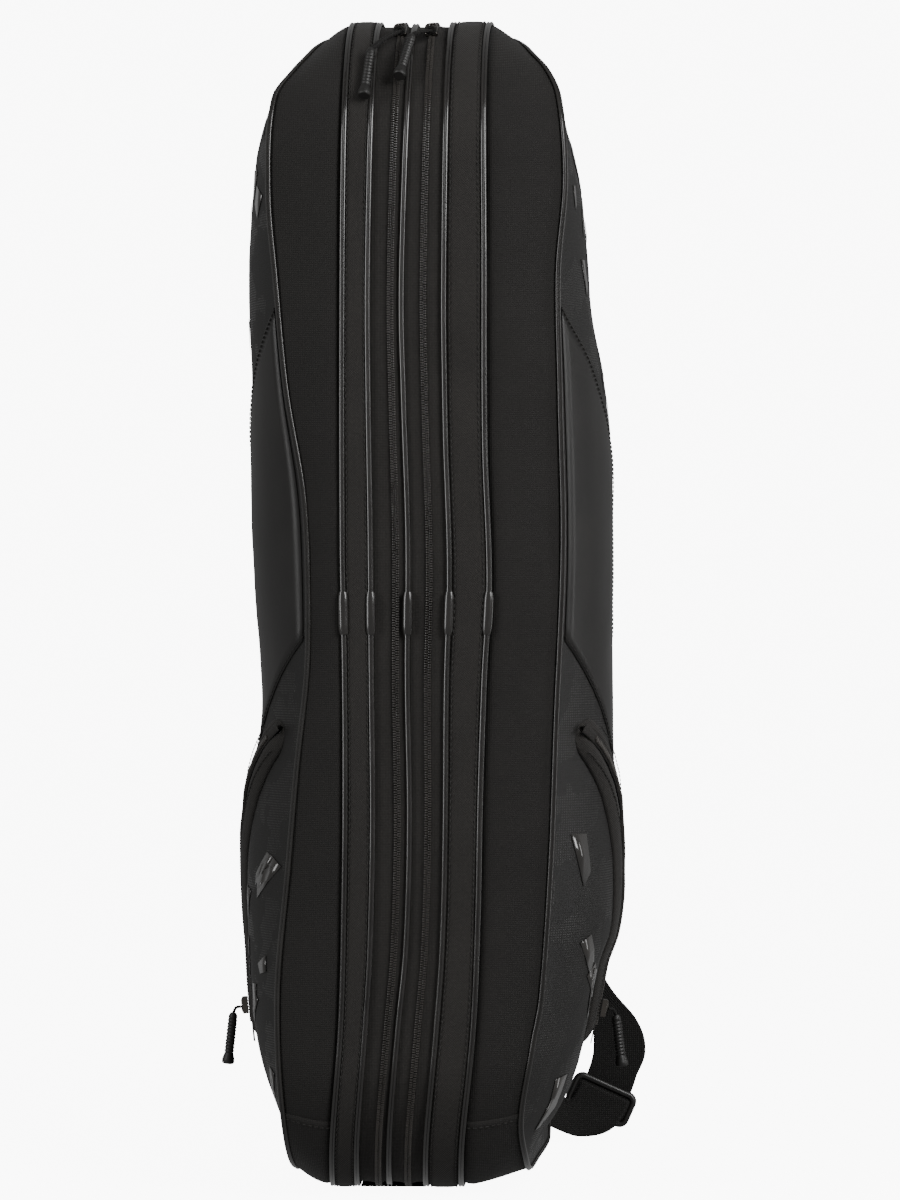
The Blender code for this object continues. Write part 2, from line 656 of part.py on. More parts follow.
def handle(webbing, padding):
    """The carry handle on the spine: a strip of webbing bowed outward, with a padded grip round it."""
    points = []
    for k in range(13):
        share = k / 12
        bow = math.sin(math.pi * share) ** 0.5 if 0 < share < 1 else 0
        points.append(Vector((0, 0.1632 + HANDLE_REACH * bow, HANDLE_LOW + HANDLE_LENGTH * share)))
    rows = [[p + Vector((-0.006, 0, 0)), p + Vector((0.006, 0, 0))] for p in points]
    sheet("handle_webbing", rows, 0.0016, webbing, outward=lambda c: Vector((0, 1, 0)))
    reach = 0.1632 + HANDLE_REACH
    low, high = HANDLE_LOW + 0.28 * HANDLE_LENGTH, HANDLE_LOW + 0.72 * HANDLE_LENGTH
    rows = []
    for k in range(6):
        z = low + (high - low) * k / 5
        turns = [2 * math.pi * (t + 0.5) / 12 for t in range(12)]
        rows.append([Vector((0.0105 * math.cos(t), reach - 0.0015 + 0.0085 * math.sin(t), z)) for t in turns])
    grip_rows(rows, padding)


def grip_rows(rows, paint):
    """A sleeve closed round the handle's webbing."""
    count = len(rows[0])
    points = [p for row in rows for p in row]
    faces = []
    for i in range(len(rows) - 1):
        for k in range(count):
            a, b = i * count + k, i * count + (k + 1) % count
            faces.append((a, b, b + count, a + count))
    obj = bpy.data.objects.new("handle_grip", mesh_of("handle_grip", points, faces))
    wall = obj.modifiers.new("thickness", "SOLIDIFY")
    wall.thickness = 0.0022
    wall.offset = -1
    finish(obj, paint)


def main():
    clear_scene()
    canvas = material("canvas", (0.012, 0.012, 0.013), 0.85)
    gusset_cloth = material("gusset_canvas", (0.014, 0.014, 0.015), 0.8)
    print_cloth = material("printed_canvas", (0.010, 0.010, 0.011), 0.6)
    gloss = material("gloss_piping", (0.02, 0.02, 0.021), 0.25)
    coil = material("zipper_coil", (0.008, 0.008, 0.009), 0.5)
    steel = material("black_steel", (0.05, 0.05, 0.052), 0.3, 1.0)
    rubber = material("pull_rubber", (0.012, 0.012, 0.012), 0.6)
    webbing = material("webbing", (0.012, 0.012, 0.013), 0.7)
    plastic = material("black_plastic", (0.015, 0.015, 0.016), 0.4)
    padding = material("divider_padding", (0.05, 0.05, 0.055), 0.9)
    paints = (canvas, gusset_cloth, print_cloth, gloss, coil, steel, rubber)
    case("left", -1, paints)
    case("right", 1, paints)
    seam_tube("centre_piping", CENTRE_SEAM, gloss, CENTRE_PIPING_INSET)
    piping_sleeve("centre_piping_sleeve", CENTRE_SEAM, gloss)
    first, last = CHAIN_LEFT + CHAIN_GAP, CENTRE_SEAM - PIPING_CLEAR
    strip("left_inner_tape", first, last, (0.003, TAPE_INSET, TAPE_INSET), TAPE, coil)
    first, last = CENTRE_SEAM + PIPING_CLEAR, CHAIN_RIGHT - CHAIN_GAP
    strip("right_inner_tape", first, last, (TAPE_INSET, TAPE_INSET, 0.003), TAPE, coil)
    face_slab("divider", CENTRE_SEAM, 0.005, 0.009, padding)
    insets = (0, 0, 0)
    first, last = BAND_SEAM_LEFT + PIPING_CLEAR, BAND_SEAM_RIGHT - PIPING_CLEAR
    strip("zipper_end_patch", first, last, insets, PATCH_CLOTH, canvas, stations=[1, 2, 3, 4])
    spine_rows = []
    for i in REAR_STRETCH:
        half = HINGE_X - 0.0015
        spine_rows.append([outline_point(i, half * (j / 2 - 1), 0.001) for j in range(5)])
    sheet("spine_panel", spine_rows, CLOTH, canvas, outward=away_from_middle)
    main_slider("left", CHAIN_LEFT, (-0.0290, -0.0325), (44, 23), steel, rubber, webbing)
    main_slider("right", CHAIN_RIGHT, (-0.0035, -0.0106), (52, 31), steel, rubber, webbing)
    strap_paints = (canvas, webbing, plastic)
    strap("left", STRAP_ROUTE_LEFT, STRAP_LOWER_LEFT, Vector((-0.038, 0.2010, 0.095)), 0, strap_paints)
    strap("right", STRAP_ROUTE_RIGHT, STRAP_LOWER_RIGHT, Vector((0.1160, 0.1935, 0.0300)), -24, strap_paints)
    handle(webbing, canvas)


main()
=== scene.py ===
"""Looks of the racket tournament bag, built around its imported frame."""

import math
import random

import bmesh
import bpy
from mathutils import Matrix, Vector, noise
from mathutils.bvhtree import BVHTree


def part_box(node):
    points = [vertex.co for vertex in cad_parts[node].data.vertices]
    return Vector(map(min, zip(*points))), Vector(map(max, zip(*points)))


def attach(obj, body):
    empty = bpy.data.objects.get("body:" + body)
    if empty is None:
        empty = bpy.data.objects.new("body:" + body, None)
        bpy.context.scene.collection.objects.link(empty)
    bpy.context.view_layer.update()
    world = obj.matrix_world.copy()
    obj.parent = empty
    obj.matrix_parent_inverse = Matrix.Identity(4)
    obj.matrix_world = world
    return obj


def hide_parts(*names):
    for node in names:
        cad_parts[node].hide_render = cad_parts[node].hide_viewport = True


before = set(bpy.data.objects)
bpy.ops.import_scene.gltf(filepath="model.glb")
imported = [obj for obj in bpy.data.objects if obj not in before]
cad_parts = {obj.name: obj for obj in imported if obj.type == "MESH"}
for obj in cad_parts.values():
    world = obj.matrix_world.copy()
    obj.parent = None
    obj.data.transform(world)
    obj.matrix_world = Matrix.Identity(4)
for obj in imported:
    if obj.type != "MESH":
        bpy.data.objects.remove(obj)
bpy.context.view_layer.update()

# The frame's own dimensions, in metres, repeated from the design.
LENGTH = 0.760
DEPTH = 0.320
HALF = DEPTH / 2
FRONT_TOP_RADIUS = 0.100
FRONT_BOTTOM_RADIUS = 0.090
SPINE_RADIUS = 0.060
PIPING_CLEAR = 0.0020
TUCK = PIPING_CLEAR * 0.3  # where cloth starts, under its piping
EDGE_INSET = 0.0025
TAPE_INSET = 0.0040
OUTER_INSET = 0.014
HINGE_X = 0.049
FACE_END = 0.150
FACE_SHOULDER = 0.085
GUSSET_SEAM = {-1: -0.0462, 1: 0.0446}
BAND_SEAM = {-1: -0.0291, 1: 0.0199}
CHAIN = {-1: -0.0136, 1: 0.0073}
CENTRE_SEAM = -0.0060
POCKET_CENTRE = (-0.241, 0.128)
POCKET_RADIUS = 0.206
POCKET_TURNS = (57, -10)
POCKET_HALF = 0.0125
SIDES = {"left": -1, "right": 1}

FINE = 5  # fine stations to each of the frame's
STITCH, THREAD = 0.0024, 0.0007
CORD = (0.00110, 0.00085)  # a piping cord's radius and offset from the seam


# The outline of the side view, finely sampled.

RUNS = (4, 6, 14, 6, 4, 4, 6, 4)  # the frame's steps on each run and corner, from the spine's foot forwards


def outline_stations(fine):
    """Points round the side view, each (y, z, inward y, inward z), with the frame's steps split finely."""
    front_low = Vector((-HALF + FRONT_BOTTOM_RADIUS, FRONT_BOTTOM_RADIUS))
    front_high = Vector((-HALF + FRONT_TOP_RADIUS, LENGTH - FRONT_TOP_RADIUS))
    back_high = Vector((HALF - SPINE_RADIUS, LENGTH - SPINE_RADIUS))
    back_low = Vector((HALF - SPINE_RADIUS, SPINE_RADIUS))
    stations = []

    def run(start, end, steps, inward):
        for i in range(steps * fine):
            point = start.lerp(end, i / (steps * fine))
            stations.append((point.x, point.y, *inward))

    def corner(centre, radius, first, last, steps):
        for i in range(steps * fine):
            turn = math.radians(first + (last - first) * i / (steps * fine))
            out = Vector((math.cos(turn), math.sin(turn)))
            point = centre + radius * out
            stations.append((point.x, point.y, -out.x, -out.y))

    run(Vector((back_low.x, 0)), Vector((front_low.x, 0)), RUNS[0], (0, 1))
    corner(front_low, FRONT_BOTTOM_RADIUS, 270, 180, RUNS[1])
    run(Vector((-HALF, front_low.y)), Vector((-HALF, front_high.y)), RUNS[2], (1, 0))
    corner(front_high, FRONT_TOP_RADIUS, 180, 90, RUNS[3])
    run(Vector((front_high.x, LENGTH)), Vector((back_high.x, LENGTH)), RUNS[4], (0, -1))
    corner(back_high, SPINE_RADIUS, 90, 0, RUNS[5])
    run(Vector((HALF, back_high.y)), Vector((HALF, back_low.y)), RUNS[6], (-1, 0))
    corner(back_low, SPINE_RADIUS, 0, -90, RUNS[7])
    return stations


def distances():
    """The frame's distance along its outline at each of its own stations, and the whole way round."""
    coarse = outline_stations(1)
    found = [0.0]
    for i in range(1, len(coarse) + 1):
        a, b = coarse[i - 1], coarse[i % len(coarse)]
        found.append(found[-1] + math.hypot(b[0] - a[0], b[1] - a[1]))
    return found


STATIONS = outline_stations(FINE)
DISTANCE = distances()
GIRTH = DISTANCE[-1]
TOP_REAR = sum(RUNS[:5])
WRAP = range(TOP_REAR * FINE + 1)
LOOP = range(len(STATIONS))


def distance(index):
    whole, part = divmod(index, FINE)
    return DISTANCE[whole] + (DISTANCE[whole + 1] - DISTANCE[whole]) * part / FINE


def at_front(z):
    return DISTANCE[10] + z - FRONT_BOTTOM_RADIUS


def smooth_curve(knots):
    """A smooth function through knots (distance, value), level beyond the first and the last."""
    knots = sorted(knots)
    slopes = [0.0]
    for before, after in zip(knots, knots[2:]):
        slopes.append((after[1] - before[1]) / (after[0] - before[0]))
    slopes.append(0.0)

    def value(s):
        if s <= knots[0][0]:
            return knots[0][1]
        for (s0, v0), (s1, v1), m0, m1 in zip(knots, knots[1:], slopes, slopes[1:]):
            if s <= s1:
                span = s1 - s0
                t = (s - s0) / span
                return (
                    v0 * (1 + 2 * t) * (1 - t) ** 2
                    + m0 * span * t * (1 - t) ** 2
                    + v1 * t * t * (3 - 2 * t)
                    + m1 * span * t * t * (t - 1)
                )
        return knots[-1][1]

    return value


BOTTOM_MID = DISTANCE[3]
TOP_MID = DISTANCE[31]
TOP_END = DISTANCE[TOP_REAR]
LOW_BEND = DISTANCE[7]
HIGH_BEND = DISTANCE[27]

# How far the strips stray sideways from straight at the left, centre and right seams.
SHIFT_LEFT = smooth_curve(
    [(0, 0), (BOTTOM_MID, -0.010), (LOW_BEND, -0.008), (at_front(0.110), -0.001), (at_front(0.200), 0.0013)]
    + [(at_front(0.256), 0.0018), (at_front(0.332), 0.0015), (at_front(0.420), 0), (at_front(0.600), 0)]
    + [(HIGH_BEND, 0.0016), (TOP_MID, 0.0025), (TOP_END, 0)]
)
SHIFT_CENTRE = smooth_curve(
    [(0, 0), (BOTTOM_MID, -0.013), (LOW_BEND, -0.012), (at_front(0.110), -0.005), (at_front(0.160), 0)]
    + [(at_front(0.240), 0.0024), (at_front(0.332), 0.0010), (at_front(0.420), 0.0014)]
    + [(at_front(0.509), -0.0014), (at_front(0.580), -0.0028), (HIGH_BEND, 0.0018), (TOP_MID, 0.003)]
    + [(TOP_END, 0)]
)
SHIFT_RIGHT = smooth_curve(
    [(0, 0), (BOTTOM_MID, -0.016), (LOW_BEND, -0.0164), (at_front(0.110), -0.008), (at_front(0.180), -0.005)]
    + [(at_front(0.256), -0.0035), (at_front(0.332), -0.001), (at_front(0.395), 0.0022)]
    + [(at_front(0.480), -0.0006), (at_front(0.600), -0.001), (HIGH_BEND, -0.0014), (TOP_MID, 0.0015)]
    + [(TOP_END, 0)]
)

# Half the bag's width at the outer piping, round the outline.
PIPING_X_LEFT = smooth_curve(
    [(0, 0.080), (BOTTOM_MID, 0.078), (LOW_BEND, 0.084), (at_front(0.128), 0.0884), (at_front(0.211), 0.0815)]
    + [(at_front(0.278), 0.0757), (at_front(0.339), 0.0693), (at_front(0.400), 0.0690)]
    + [(at_front(0.451), 0.0719), (at_front(0.516), 0.0827), (at_front(0.588), 0.0897)]
    + [(at_front(0.642), 0.0941), (DISTANCE[26], 0.0910), (HIGH_BEND, 0.0800), (DISTANCE[28], 0.0700)]
    + [(DISTANCE[30], 0.0590), (TOP_END, 0.060), (TOP_END + 0.100, 0.078), (GIRTH, 0.080)]
)
PIPING_X_RIGHT = smooth_curve(
    [(0, 0.080), (BOTTOM_MID, 0.0740), (DISTANCE[6], 0.0690), (DISTANCE[8], 0.0665)]
    + [(at_front(0.101), 0.0745)]
    + [(at_front(0.128), 0.0796), (at_front(0.217), 0.0859), (at_front(0.304), 0.0891)]
    + [(at_front(0.416), 0.0935), (at_front(0.512), 0.0916), (at_front(0.590), 0.0904)]
    + [(at_front(0.650), 0.0950), (DISTANCE[26], 0.0905), (HIGH_BEND, 0.0830), (DISTANCE[28], 0.0720)]
    + [(DISTANCE[30], 0.0590), (TOP_END, 0.060), (TOP_END + 0.100, 0.078), (GIRTH, 0.080)]
)

# Half the bag's width along its middle, by height.
FACE_X_LEFT = smooth_curve(
    [(0.012, 0.078), (0.034, 0.089), (0.064, 0.100), (0.120, 0.110), (0.200, 0.1137), (0.254, 0.1123)]
    + [(0.313, 0.1070), (0.382, 0.1110), (0.449, 0.1143), (0.600, 0.1150), (0.654, 0.1123), (0.700, 0.1077)]
    + [(0.722, 0.1010), (0.737, 0.0917), (0.746, 0.0800)]
)
FACE_X_RIGHT = smooth_curve(
    [(0.012, 0.070), (0.032, 0.084), (0.049, 0.0950), (0.097, 0.107), (0.145, 0.1163), (0.168, 0.1240)]
    + [(0.205, 0.1270), (0.289, 0.1263), (0.462, 0.1263), (0.531, 0.1210), (0.567, 0.1143), (0.645, 0.1070)]
    + [(0.682, 0.1010), (0.709, 0.0943), (0.730, 0.0870), (0.746, 0.0763)]
)


def seam_x(nominal, s):
    """Where a seam that nominally lies at this X really runs, at a distance along the outline."""
    left, centre, right = SHIFT_LEFT(s), SHIFT_CENTRE(s), SHIFT_RIGHT(s)
    if nominal < CENTRE_SEAM:
        share = (nominal - GUSSET_SEAM[-1]) / (CENTRE_SEAM - GUSSET_SEAM[-1])
        return nominal + left + (centre - left) * share
    share = (nominal - CENTRE_SEAM) / (GUSSET_SEAM[1] - CENTRE_SEAM)
    return nominal + centre + (right - centre) * share


def outline_point(index, x, inset):
    y, z, inward_y, inward_z = STATIONS[index]
    return Vector((x, y + inward_y * inset, z + inward_z * inset))


def outward(index):
    return Vector((0, -STATIONS[index][2], -STATIONS[index][3]))


def edge_x(side, index):
    reach = PIPING_X_LEFT if side < 0 else PIPING_X_RIGHT
    return side * reach(distance(index))


def gusset_seam_x(side, index):
    """The gusset's inner seam, which turns into the straight hinge line at the spine."""
    hinge = side * (HINGE_X - PIPING_CLEAR)
    place = index / FINE
    share = 1 if place >= TOP_REAR else max(0, 1 - place, place - TOP_REAR + 1)
    if share >= 1:
        return hinge
    seam = seam_x(GUSSET_SEAM[side], distance(index))
    return seam + (hinge - seam) * share


def waves(point, size, amount):
    """Smooth irregularity of cloth, of this wavelength and half height."""
    return amount * noise.noise(Vector(point) / size)


# Materials.

WARMTH = 0.09  # how far the blacks lean to brown
WAVE_SCALE = 0.314  # the wave texture's scale for a pitch of one metre
TWILL_TURN = 0.785

def node(tree, kind, links=()):
    """A shader node, with its links given as (input, output socket)."""
    made = tree.nodes.new(kind)
    for socket, source in links:
        tree.links.new(made.inputs[socket], source)
    return made


def new_material(name, roughness, metallic=0.0, specular=0.5, sheen=0.0, coat=0.0):
    made = bpy.data.materials.new(name)
    made.use_nodes = True
    shader = made.node_tree.nodes["Principled BSDF"]
    shader.inputs["Roughness"].default_value = roughness
    shader.inputs["Metallic"].default_value = metallic
    shader.inputs["Specular IOR Level"].default_value = specular
    shader.inputs["Sheen Weight"].default_value = sheen
    shader.inputs["Sheen Roughness"].default_value = 0.45
    shader.inputs["Coat Weight"].default_value = coat
    return made, made.node_tree, shader


def position(tree):
    return node(tree, "ShaderNodeTexCoord").outputs["Object"]


def wave(tree, where, direction, pitch, turn=0.0):
    """A sine pattern across a direction, of this pitch in metres."""
    turned = node(tree, "ShaderNodeMapping", [("Vector", where)])
    turned.inputs["Rotation"].default_value = (0, turn, 0)
    made = node(tree, "ShaderNodeTexWave", [("Vector", turned.outputs[0])])
    made.wave_profile = "SIN"
    made.bands_direction = direction
    made.inputs["Scale"].default_value = WAVE_SCALE / pitch
    made.inputs["Distortion"].default_value = 0
    return made.outputs["Fac"]


def math_node(tree, operation, a, b):
    made = tree.nodes.new("ShaderNodeMath")
    made.operation = operation
    for socket, value in zip(made.inputs, (a, b)):
        if isinstance(value, (int, float)):
            socket.default_value = value
        else:
            tree.links.new(socket, value)
    return made.outputs[0]


def noise_fac(tree, where, size, detail=3):
    made = node(tree, "ShaderNodeTexNoise", [("Vector", where)])
    made.inputs["Scale"].default_value = 1 / size
    made.inputs["Detail"].default_value = detail
    return made.outputs["Fac"]


def ramp(tree, fac, stops):
    made = node(tree, "ShaderNodeValToRGB", [("Fac", fac)])
    elements = made.color_ramp.elements
    while len(elements) < len(stops):
        elements.new(0.5)
    for element, (place, color) in zip(elements, stops):
        element.position = place
        element.color = (*color, 1)
    return made.outputs["Color"]


def grey(level):
    return (level * (1 + WARMTH), level, level * (1 - WARMTH))


def bump(tree, shader, height, strength, size):
    made = node(tree, "ShaderNodeBump", [("Height", height)])
    made.inputs["Strength"].default_value = strength
    made.inputs["Distance"].default_value = size
    tree.links.new(shader.inputs["Normal"], made.outputs[0])


def woven(name, level, roughness, pitch, strength=0.6, twill=False, sheen=0.25):
    """Canvas or tape: two thread directions, with lighter thread tops and faint soiling."""
    made, tree, shader = new_material(name, roughness, specular=0.3, sheen=sheen)
    where = position(tree)
    turn = TWILL_TURN if twill else 0.0
    warp = wave(tree, where, "X", pitch, turn)
    weft = wave(tree, where, "Z", pitch, turn)
    threads = math_node(tree, "MULTIPLY", warp, weft)
    cloud = noise_fac(tree, where, 0.05)
    fleck = noise_fac(tree, where, 0.0016, 2)
    tops, soil, flecks = (
        math_node(tree, "MULTIPLY", fac, share)
        for fac, share in ((threads, 0.45), (cloud, 0.3), (fleck, 0.3))
    )
    mixed = math_node(tree, "ADD", math_node(tree, "ADD", tops, soil), flecks)
    color = ramp(tree, mixed, [(0.15, grey(level * 0.55)), (0.85, grey(level * 1.7))])
    tree.links.new(shader.inputs["Base Color"], color)
    bump(tree, shader, math_node(tree, "ADD", threads, fleck), strength, 0.0004)
    return made


def coated(name, level, roughness, grain, specular=0.5, coat=0.0, metallic=0.0, strength=0.15):
    """Smooth coated cloth, rubber, plastic or metal with a fine grain and worn patches."""
    made, tree, shader = new_material(name, roughness, metallic, specular, coat=coat)
    where = position(tree)
    fine = noise_fac(tree, where, grain, 2)
    cloud = noise_fac(tree, where, 0.03)
    color = ramp(tree, cloud, [(0.3, grey(level * 0.8)), (0.7, grey(level * 1.2))])
    tree.links.new(shader.inputs["Base Color"], color)
    rough = math_node(tree, "ADD", math_node(tree, "MULTIPLY", cloud, 0.15), roughness - 0.07)
    tree.links.new(shader.inputs["Roughness"], rough)
    bump(tree, shader, fine, strength, 0.0002)
    return made


def printed(name):
    """Coated mesh cloth: a crosshatch of glossy dots that comes and goes in patches."""
    made, tree, shader = new_material(name, 0.5, specular=0.45)
    where = position(tree)
    hatch = math_node(tree, "MULTIPLY", wave(tree, where, "Y", 0.0016), wave(tree, where, "Z", 0.0016))
    patches = noise_fac(tree, where, 0.035, 4)
    shown = math_node(tree, "GREATER_THAN", patches, 0.52)
    dots = math_node(tree, "MULTIPLY", math_node(tree, "GREATER_THAN", hatch, 0.42), shown)
    color = ramp(tree, dots, [(0.0, grey(0.0060)), (1.0, grey(0.0120))])
    tree.links.new(shader.inputs["Base Color"], color)
    rough = math_node(tree, "SUBTRACT", 0.62, math_node(tree, "MULTIPLY", dots, 0.34))
    tree.links.new(shader.inputs["Roughness"], rough)
    bump(tree, shader, math_node(tree, "ADD", hatch, dots), 0.35, 0.0003)
    return made


PAINT = {
    "canvas": woven("canvas", 0.0190, 0.85, 0.0011, twill=True, sheen=0.06),
    "gusset": woven("gusset_canvas", 0.0112, 0.82, 0.0012, sheen=0.06),
    "print": printed("printed_canvas"),
    "smooth": coated("smooth_panel", 0.0085, 0.44, 0.0006, specular=0.45),
    "shard": coated("gloss_print", 0.026, 0.18, 0.0010, coat=0.5),
    "piping": coated("gloss_piping", 0.014, 0.22, 0.0020, specular=0.6, coat=0.3, strength=0.03),
    "tape": woven("zipper_tape", 0.0170, 0.82, 0.0010, sheen=0.04),
    "coil": coated("zipper_coil", 0.045, 0.28, 0.0008, specular=0.6),
    "steel": coated("black_steel", 0.12, 0.24, 0.0015, metallic=1.0),
    "rubber": coated("pull_rubber", 0.008, 0.50, 0.0007, strength=0.3),
    "webbing": woven("webbing", 0.0060, 0.78, 0.0014, strength=0.8, sheen=0.05),
    "plastic": coated("black_plastic", 0.007, 0.36, 0.0006, strength=0.2),
    "lining": woven("lining", 0.050, 0.85, 0.0014, sheen=0.1),
    "thread": coated("thread", 0.014, 0.60, 0.0005),
}


# Ways of making a piece.


def placed(obj, paint, body, replaces=(), lining=False):
    """Puts a piece in the scene with its paint, body and the nodes that it stands for."""
    bpy.context.scene.collection.objects.link(obj)
    obj.data.materials.clear()
    obj.data.materials.append(PAINT[paint])
    if lining:
        obj.data.materials.append(PAINT["lining"])
    if obj.type == "MESH":
        obj.data.shade_smooth()
        obj.data.set_sharp_from_angle(angle=math.radians(45))
    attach(obj, body)
    if replaces:
        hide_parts(*replaces)
    return obj


def mesh_object(name, points, faces):
    mesh = bpy.data.meshes.new(name)
    mesh.from_pydata([tuple(p) for p in points], [], faces)
    mesh.update()
    return bpy.data.objects.new(name, mesh)


def grid_faces(rows, columns, wrap=False, wrap_columns=False):
    faces = []
    for i in range(rows if wrap else rows - 1):
        for j in range(columns if wrap_columns else columns - 1):
            a, b = i * columns, (i + 1) % rows * columns
            k = (j + 1) % columns
            faces.append((a + j, b + j, b + k, a + k))
    return faces


def thicken(obj, thickness, lining=1):
    """Gives cloth its thickness on the inner side, whose material is that many slots further on."""
    wall = obj.modifiers.new("thickness", "SOLIDIFY")
    wall.thickness = thickness
    wall.offset = -1
    wall.material_offset = lining


def shell(name, rows, thickness, away):
    """Cloth on a grid of points, thickened behind the side that faces away."""
    obj = mesh_object(name, [p for row in rows for p in row], grid_faces(len(rows), len(rows[0])))
    face = obj.data.polygons[len(obj.data.polygons) // 2]
    if face.normal.dot(away(face.center)) < 0:
        obj.data.flip_normals()
    thicken(obj, thickness)
    return obj


def sweep(name, frames, section, wrap=False):
    """A section (across, out) carried along frames (place, across, out), closed at both ends."""
    count = len(section)
    points = [o + across * u + out * v for o, across, out in frames for u, v in section]
    faces = grid_faces(len(frames), count, wrap, wrap_columns=True)
    if not wrap:
        faces += [tuple(reversed(range(count))), tuple(range(len(points) - count, len(points)))]
    obj = mesh_object(name, points, faces)
    shape = bmesh.new()
    shape.from_mesh(obj.data)
    bmesh.ops.recalc_face_normals(shape, faces=shape.faces)
    shape.to_mesh(obj.data)
    shape.free()
    return obj


def ring_section(radius, sides, squash=1.0):
    turns = [2 * math.pi * k / sides for k in range(sides)]
    return [(radius * math.cos(t), radius * squash * math.sin(t)) for t in turns]


def twin_section(radius, apart):
    """Two round cords side by side."""
    points = []
    for k in range(7):
        turn = math.pi * (-0.5 + k / 6)
        points.append((apart + radius * math.cos(turn), radius * math.sin(turn)))
    points.append((0, radius * 0.45))
    for k in range(7):
        turn = math.pi * (0.5 + k / 6)
        points.append((-apart + radius * math.cos(turn), radius * math.sin(turn)))
    points.append((0, -radius * 0.45))
    return points


def blocks(name, places, sizes):
    """Many small rounded blocks in one mesh; places are (centre, along, across, out)."""
    a, b, c = (s / 2 for s in sizes)
    top, points, faces = 0.6, [], []
    for centre, along, across, out in places:
        first = len(points)
        for w, k in ((-c, 1), (c * 0.4, 1), (c, top)):
            for u, v in ((-a, -b), (a, -b), (a, b), (-a, b)):
                points.append(centre + along * u * k + across * v * k + out * w)
        faces.append(tuple(first + k for k in (3, 2, 1, 0)))
        faces.append(tuple(first + 8 + k for k in range(4)))
        for level in (0, 4):
            for k in range(4):
                p, q = first + level + k, first + level + (k + 1) % 4
                faces.append((p, q, q + 4, p + 4))
    return mesh_object(name, points, faces)


def resample(points, step):
    """Points at even spacing along a polyline, each with its direction."""
    found, carry = [], 0.0
    for a, b in zip(points, points[1:]):
        length = (b - a).length
        while carry < length:
            found.append((a.lerp(b, carry / length), (b - a).normalized()))
            carry += step
        carry -= length
    return found


def stitches(name, points, outs, body, pitch=0.0040):
    """A row of stitches along a line that lies on the cloth."""
    places = []
    for place, along in resample(points, pitch):
        out = outs(place)
        places.append((place, along, along.cross(out).normalized(), out))
    placed(blocks(name, places, (STITCH, THREAD, THREAD)), "thread", body)


def facing(x, y, z):
    """A direction that is the same everywhere."""
    return lambda place: Vector((x, y, z))


def away_from_middle(centre):
    return Vector((0, centre.y, centre.z - LENGTH / 2))


def out_of_outline(place):
    """The outward direction of the bag's rim nearest to a place."""
    y, z = place.y, place.z
    inner_y = min(max(y, -HALF + FRONT_TOP_RADIUS), HALF - SPINE_RADIUS)
    inner_z = min(max(z, FRONT_BOTTOM_RADIUS), LENGTH - FRONT_TOP_RADIUS)
    found = Vector((0, y - inner_y, z - inner_z))
    return found.normalized() if found.length > 1e-6 else Vector((0, -1, 0))


# Strips that follow the outline.


def strip(name, first, last, inset, columns, thickness):
    """Cloth between two seams; inset gives how deep it lies from its share of the width and its place."""
    rows = []
    for i in WRAP:
        s = distance(i)
        row = []
        for j in range(columns):
            share = j / (columns - 1)
            x = seam_x(first + (last - first) * share, s)
            row.append(outline_point(i, x, inset(share, x, s)))
        rows.append(row)
    return shell(name, rows, thickness, away_from_middle)


def band(word, side):
    """The canvas band beside each gusset, crowned, tucked in at its seams and sewn along both edges."""
    first = GUSSET_SEAM[side] - side * TUCK
    last = BAND_SEAM[side] + side * TUCK

    def inset(share, x, s):
        return 0.0004 + 0.0034 * abs(2 * share - 1) ** 5 + abs(waves((x, s, side), 0.03, 0.0006))

    obj = strip(f"{word}_band_cloth", first, last, inset, 13, 0.0020)
    placed(obj, "canvas", f"{word}_case", [f"{word}_band"], lining=True)
    for share, label in ((0.13, "outer"), (0.87, "inner")):
        nominal = first + (last - first) * share
        line = [outline_point(i, seam_x(nominal, distance(i)), 0.0008) for i in WRAP]
        stitches(f"{word}_band_stitches_{label}", line, out_of_outline, f"{word}_case")


def piping(name, seam, inset, body, cad):
    """Twin glossy piping along a seam."""
    frames = []
    for i in WRAP:
        frames.append((outline_point(i, seam_x(seam, distance(i)), inset), Vector((1, 0, 0)), outward(i)))
    obj = sweep(name, frames, twin_section(*CORD))
    placed(obj, "piping", body, [cad])


def outer_piping(word, side):
    frames = []
    for i in LOOP:
        out = (outward(i) + Vector((side * 0.6, 0, 0))).normalized()
        along = Vector((0, outward(i).z, -outward(i).y))
        place = outline_point(i, edge_x(side, i), OUTER_INSET - 0.0010)
        frames.append((place, along.cross(out).normalized(), out))
    obj = sweep(f"{word}_rim_piping", frames, twin_section(*CORD), wrap=True)
    placed(obj, "piping", f"{word}_case", [f"{word}_outer_piping"])


SLEEVE_MIDDLE, SLEEVE_LENGTH = 0.3738, 0.0270


def piping_sleeve(name, seam, body, cad):
    """The short shrunk sleeve that joins a piping's two ends."""
    frames = []
    for k in range(9):
        z = SLEEVE_MIDDLE + SLEEVE_LENGTH * (k / 8 - 0.5)
        swell = 1 - 0.25 * abs(2 * k / 8 - 1) ** 6
        x = seam_x(seam, at_front(z))
        frames.append((Vector((x, -HALF + 0.0008, z)), Vector((swell, 0, 0)), Vector((0, -swell, 0))))
    obj = sweep(name, frames, ring_section(0.0033, 20, 0.62))
    placed(obj, "piping", body, [cad])


